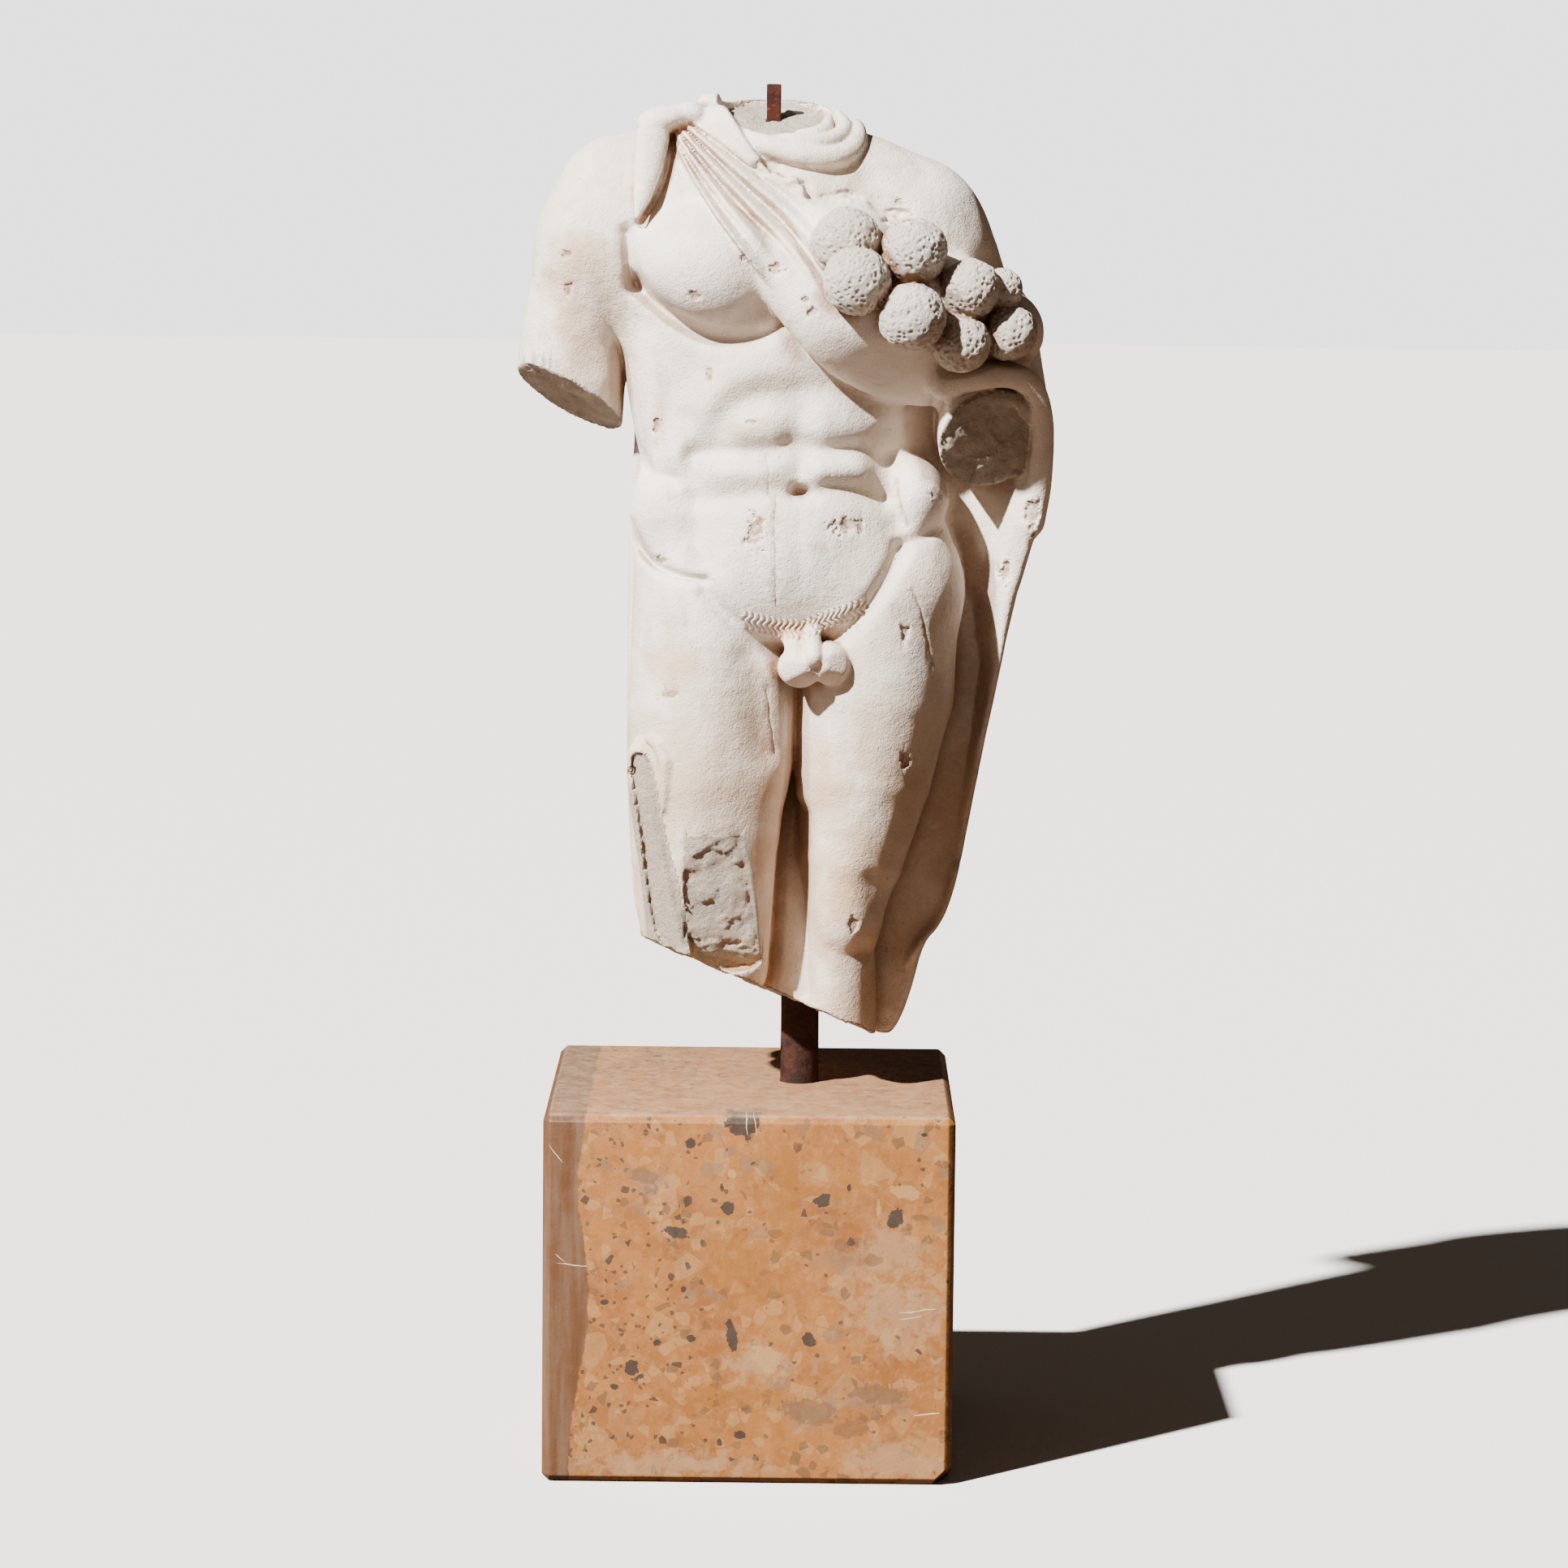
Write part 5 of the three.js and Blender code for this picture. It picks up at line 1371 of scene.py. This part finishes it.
colour = bits(0.034, 0.16, colour, BIT_CREAM, 0.35, warped)
colour = bits(0.023, 0.14, colour, GROUND_OCHRE, 0.6, warped)
colour = bits(0.014, 0.16, colour, BIT_CREAM, 0.45, warped)
colour = bits(0.019, 0.07, colour, BIT_GREY, 0.5, warped)
colour = bits(0.011, 0.07, colour, BIT_BROWN, 0.75, warped)
colour = bits(0.0085, 0.040, colour, BIT_DARK, 0.85, rarer=rarer_right)
colour = bits(0.0042, 0.045, colour, BIT_DARK, 0.75, rarer=rarer_right)
print("breccia has", len(rock.tree.nodes), "nodes so far")

# %% Place the large bits one by one
FRONT_Y = block_low[1]
DARK_BITS = [
    ("top edge", -0.007, 0.404, 0.018, 0.019, 8), ("left top", -0.065, 0.381, 0.006, 0.006, 30),
    ("left middle", -0.022, 0.309, 0.0065, 0.0078, 20), ("centre", 0.079, 0.318, 0.011, 0.0065, -24),
    ("right eye", 0.161, 0.298, 0.008, 0.011, 18), ("left bird", -0.078, 0.281, 0.014, 0.0068, 14),
    ("spike", -0.017, 0.166, 0.0062, 0.018, -8), ("low middle", 0.067, 0.162, 0.0072, 0.0098, -30),
    ("low left", -0.099, 0.158, 0.0052, 0.004, 20), ("low left two", -0.126, 0.130, 0.008, 0.0072, -40),
    ("low left three", -0.062, 0.163, 0.006, 0.004, 0), ("foot", -0.008, 0.056, 0.0068, 0.0046, 10),
    ("foot two", -0.030, 0.046, 0.0029, 0.0035, 0), ("left foot", -0.145, 0.108, 0.0045, 0.0034, 15),
    ("left rim", -0.156, 0.202, 0.004, 0.0026, 0), ("dot", -0.070, 0.218, 0.0035, 0.0035, 30),
    ("right top", 0.190, 0.391, 0.004, 0.002, 0), ("upright", -0.029, 0.332, 0.0022, 0.0046, 0),
    ("upright two", 0.110, 0.332, 0.002, 0.004, 0),
]
BROWN_BITS = [
    ("brown one", 0.102, 0.268, 0.0086, 0.0069, 10), ("brown two", 0.136, 0.251, 0.0104, 0.006, -6),
    ("brown three", 0.187, 0.300, 0.0092, 0.0035, 0), ("brown four", -0.113, 0.343, 0.014, 0.009, 8),
    ("mottle one", 0.145, 0.103, 0.030, 0.010, 4), ("mottle two", 0.068, 0.083, 0.030, 0.014, 6),
    ("mottle three", 0.116, 0.064, 0.017, 0.010, -8),
]
CREAM_BITS = [
    ("cream one", 0.142, 0.307, 0.0022, 0.010, -6), ("cream two", 0.171, 0.328, 0.016, 0.008, 12),
    ("cream three", 0.021, 0.141, 0.018, 0.013, 30), ("cream four", -0.019, 0.345, 0.005, 0.006, 0),
]
CLOUDS = [
    ("orange run", 0.042, 0.330, 0.017, 0.085, GROUND_ORANGE),
    ("orange run two", -0.010, 0.250, 0.05, 0.05, GROUND_ORANGE),
    ("orange low", -0.020, 0.095, 0.060, 0.018, GROUND_ORANGE),
    ("right pale", 0.165, 0.195, 0.060, 0.045, CLOUD_PALE),
    ("right pale two", 0.160, 0.262, 0.040, 0.038, CLOUD_PALE),
    ("middle pale", 0.010, 0.136, 0.034, 0.026, CLOUD_PALE),
    ("low right pale", 0.165, 0.028, 0.062, 0.030, CLOUD_PALE),
    ("foot pale", -0.090, 0.022, 0.110, 0.016, CLOUD_PALE),
    ("low right grey", 0.142, 0.097, 0.042, 0.017, CLOUD_GREY),
    ("low grey", 0.068, 0.080, 0.034, 0.020, CLOUD_GREY),
    ("right grey", 0.100, 0.250, 0.030, 0.014, CLOUD_GREY),
    ("top left grey", -0.110, 0.336, 0.030, 0.018, CLOUD_GREY),
]
VEINS = [
    ("band vein", -0.196, 0.244, 0.017, 0.0006, 4), ("band vein two", -0.206, 0.251, 0.009, 0.0005, 38),
    ("band vein three", -0.211, 0.366, 0.010, 0.0004, 52), ("right vein", 0.196, 0.081, 0.017, 0.0010, -7),
    ("right vein two", 0.186, 0.196, 0.020, 0.0006, -6),
    ("right vein three", 0.178, 0.188, 0.012, 0.0005, -12), ("scratch", -0.003, 0.402, 0.014, 0.0005, 84),
    ("scratch two", 0.006, 0.400, 0.012, 0.0004, 78),
]
edge_noise = rock.steps(rock.noise(110.0, 5.0, 0.65), 0.3, 0.7, -0.28, 0.28)
cloud_noise = rock.steps(rock.noise(62.0, 6.0, 0.7), 0.3, 0.7, 0.55, -0.55)


def place_bits(colour, bit_list, bit_colour, strength):
    """Lays named bits on the front: name, x, z, half width, half height, turn in degrees."""
    for name, bit_x, bit_z, half_width, half_height, turn_degrees in bit_list:
        mapping = rock.add("ShaderNodeMapping", {"vector_type": "TEXTURE", "label": name}, Vector=warped)
        shift = warp_amount / 2
        rock.join(mapping.inputs["Location"], (bit_x + shift, FRONT_Y + shift, bit_z + shift))
        rock.join(mapping.inputs["Rotation"], (0.0, math.radians(turn_degrees), 0.0))
        rock.join(mapping.inputs["Scale"], (half_width, 2.0 * max(half_width, half_height), half_height))
        sides = rock.add("ShaderNodeSeparateXYZ", Vector=mapping.outputs[0])
        reach = [rock.maths("ABSOLUTE", side) for side in sides.outputs]
        lean = rock.maths("MULTIPLY", rock.maths("ADD", reach[0], reach[2]), 0.72)
        far = rock.maths("MAXIMUM", reach[0], reach[2])
        far = rock.maths("MAXIMUM", far, rock.maths("MAXIMUM", reach[1], lean))
        amount = rock.steps(rock.maths("ADD", far, edge_noise), 1.0, 0.93, 0.0, strength)
        colour = rock.blend(amount, colour, bit_colour)
    return colour


for name, cloud_x, cloud_z, half_width, half_height, cloud_colour in CLOUDS:
    far = rock.far_from(name, (cloud_x, FRONT_Y, cloud_z), (half_width, 2.0 * half_width, half_height))
    amount = rock.steps(rock.maths("ADD", far, cloud_noise), 1.15, 0.35, 0.0, 0.62)
    colour = rock.blend(amount, colour, cloud_colour)
colour = place_bits(colour, CREAM_BITS, BIT_CREAM, 0.8)
colour = place_bits(colour, BROWN_BITS, BIT_BROWN, 0.6)
colour = place_bits(colour, DARK_BITS, BIT_DARK, 0.92)
print("placed", len(DARK_BITS) + len(BROWN_BITS) + len(CREAM_BITS), "large bits")

# %% Add the grey band and the veins, paint a sheen on the top, and polish the stone
BAND_EDGE = -0.178
height = sides.outputs[2]
edge_shift = rock.steps(height, 0.402, 0.335, 0.0, 0.008)
edge_shift = rock.maths("ADD", edge_shift, rock.steps(height, 0.330, 0.215, 0.0, -0.011))
edge_shift = rock.maths("ADD", edge_shift, rock.steps(height, 0.200, 0.040, 0.0, 0.019))
edge_shift = rock.maths("ADD", edge_shift, rock.steps(rock.noise(38.0, 5.0, 0.6), 0.3, 0.7, -0.002, 0.002))
band_place = rock.maths("ADD", sides.outputs[0], edge_shift)
band = rock.steps(band_place, BAND_EDGE + 0.0012, BAND_EDGE - 0.0012)
streaks = rock.noise(1.0, 4.0, 0.6, stretched(60.0, 60.0, 5.0))
band_colour = rock.blend(rock.steps(streaks, 0.42, 0.70, 0.0, 0.6), BAND_GREY, BIT_GREY)
band_colour = rock.blend(rock.steps(streaks, 0.42, 0.30, 0.0, 0.8), band_colour, BAND_DARK)
colour = rock.blend(band, colour, band_colour)
colour = place_bits(colour, VEINS, VEIN_WHITE, 0.75)
# A pale wash on the block's top face: a painted sheen.
sheen_on_top = rock.steps(height, block_high[2] - 0.004, block_high[2] - 0.001, 0.0, 0.34)
sheen_place = rock.maths("MULTIPLY", sheen_on_top, rock.steps(cloud_noise, -0.5, 0.5, 1.4, 0.6))
colour = rock.blend(sheen_place, colour, PAINTED_SHEEN_PALE)
rock.bump([(rock.noise(300.0, 3.0, 0.6), 0.00025), (rock.noise(45.0, 4.0, 0.6), 0.0005)])
rock.shader.inputs["Specular IOR Level"].default_value = 0.4
block.data.materials.clear()
block.data.materials.append(rock.finish(colour, rock.steps(rock.noise(70.0, 4.0, 0.6), 0.3, 0.7, 0.34, 0.55)))
print("breccia has", len(rock.tree.nodes), "nodes")

# %% [markdown]
# The irons
#
# A round post carries the figure, and a flat bar stands out of the neck, where a repair once held the
# head. Both are old iron. A cylinder and a cube are the right start: their ends are bevelled, and the
# surface is divided and made uneven by rust.

# %% Model the post
RUST_DEPTH = 0.0005
POST_RINGS = (0.012, 0.036)


def rusty(obj, low, high, size):
    """Makes the surface uneven without leaving its box."""
    apply_modifier(obj, "SUBSURF", levels=3, render_levels=3, subdivision_type="SIMPLE")
    p, out = points_of(obj)
    p = p + out * (RUST_DEPTH * (rough(p, size, 400) - 1.0))[:, None]
    move_points(obj, np.clip(p, low, high))


bpy.ops.object.select_all(action="DESELECT")
post_middle = [(a + b) / 2 for a, b in zip(post_low, post_high)]
post_radius, post_length = (post_high[0] - post_low[0]) / 2, post_high[2] - post_low[2]
bpy.ops.mesh.primitive_cylinder_add(vertices=40, radius=post_radius, depth=post_length, location=post_middle)
post = bpy.context.object
post.name = "iron_post"
bpy.ops.object.transform_apply(location=True, rotation=True, scale=True)
bpy.ops.object.mode_set(mode="EDIT")
for height in POST_RINGS:
    bpy.ops.mesh.select_all(action="SELECT")
    bpy.ops.mesh.bisect(plane_co=(0, 0, block_high[2] + height), plane_no=(0, 0, 1))
bpy.ops.object.mode_set(mode="OBJECT")
apply_modifier(post, "BEVEL", width=0.002, segments=2, limit_method="ANGLE", angle_limit=1.0)
rusty(post, post_low, post_high, 0.02)
only(post)
bpy.ops.object.shade_smooth_by_angle(angle=math.radians(40))
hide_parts("support_post")
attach(post, "root")
print("the post has", len(post.data.polygons), "faces")

# %% Model the bar in the neck
bpy.ops.object.select_all(action="DESELECT")
bar_middle = [(a + b) / 2 for a, b in zip(bar_low, bar_high)]
bar_size = [b - a for a, b in zip(bar_low, bar_high)]
bpy.ops.mesh.primitive_cube_add(size=1, location=bar_middle, scale=bar_size)
bar = bpy.context.object
bar.name = "neck_iron"
bpy.ops.object.transform_apply(location=True, rotation=True, scale=True)
apply_modifier(bar, "BEVEL", width=0.0015, segments=2, limit_method="NONE")
rusty(bar, bar_low, bar_high, 0.008)
only(bar)
bpy.ops.object.shade_smooth_by_angle(angle=math.radians(40))
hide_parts("neck_bar")
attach(bar, "root")
print("the bar has", len(bar.data.polygons), "faces")

# %% Mix two kinds of rust
def rust(name, dark, mid, bright, bright_share):
    """Old iron: dark scale, brown rust and orange bloom, all matt and pitted."""
    iron = Recipe(name)
    scale_noise = iron.noise(70.0, 6.0, 0.65)
    bloom_noise = iron.noise(150.0, 5.0, 0.7)
    colour = iron.blend(iron.steps(scale_noise, 0.38, 0.62), dark, mid)
    colour = iron.blend(iron.steps(bloom_noise, 0.66 - bright_share, 0.78 - bright_share), colour, bright)
    iron.bump([(iron.noise(160.0, 6.0, 0.7), 0.0016), (iron.noise(600.0, 3.0, 0.6), 0.0005)])
    iron.shader.inputs["Specular IOR Level"].default_value = 0.2
    return iron.finish(colour, iron.steps(scale_noise, 0.3, 0.7, 0.65, 0.9))


post.data.materials.clear()
post.data.materials.append(
    rust("dark_rust", (0.014, 0.005, 0.003), (0.040, 0.013, 0.007), (0.09, 0.030, 0.012), 0.04))
bar.data.materials.clear()
bar.data.materials.append(
    rust("bright_rust", (0.026, 0.006, 0.003), (0.055, 0.013, 0.006), (0.11, 0.029, 0.010), 0.12))
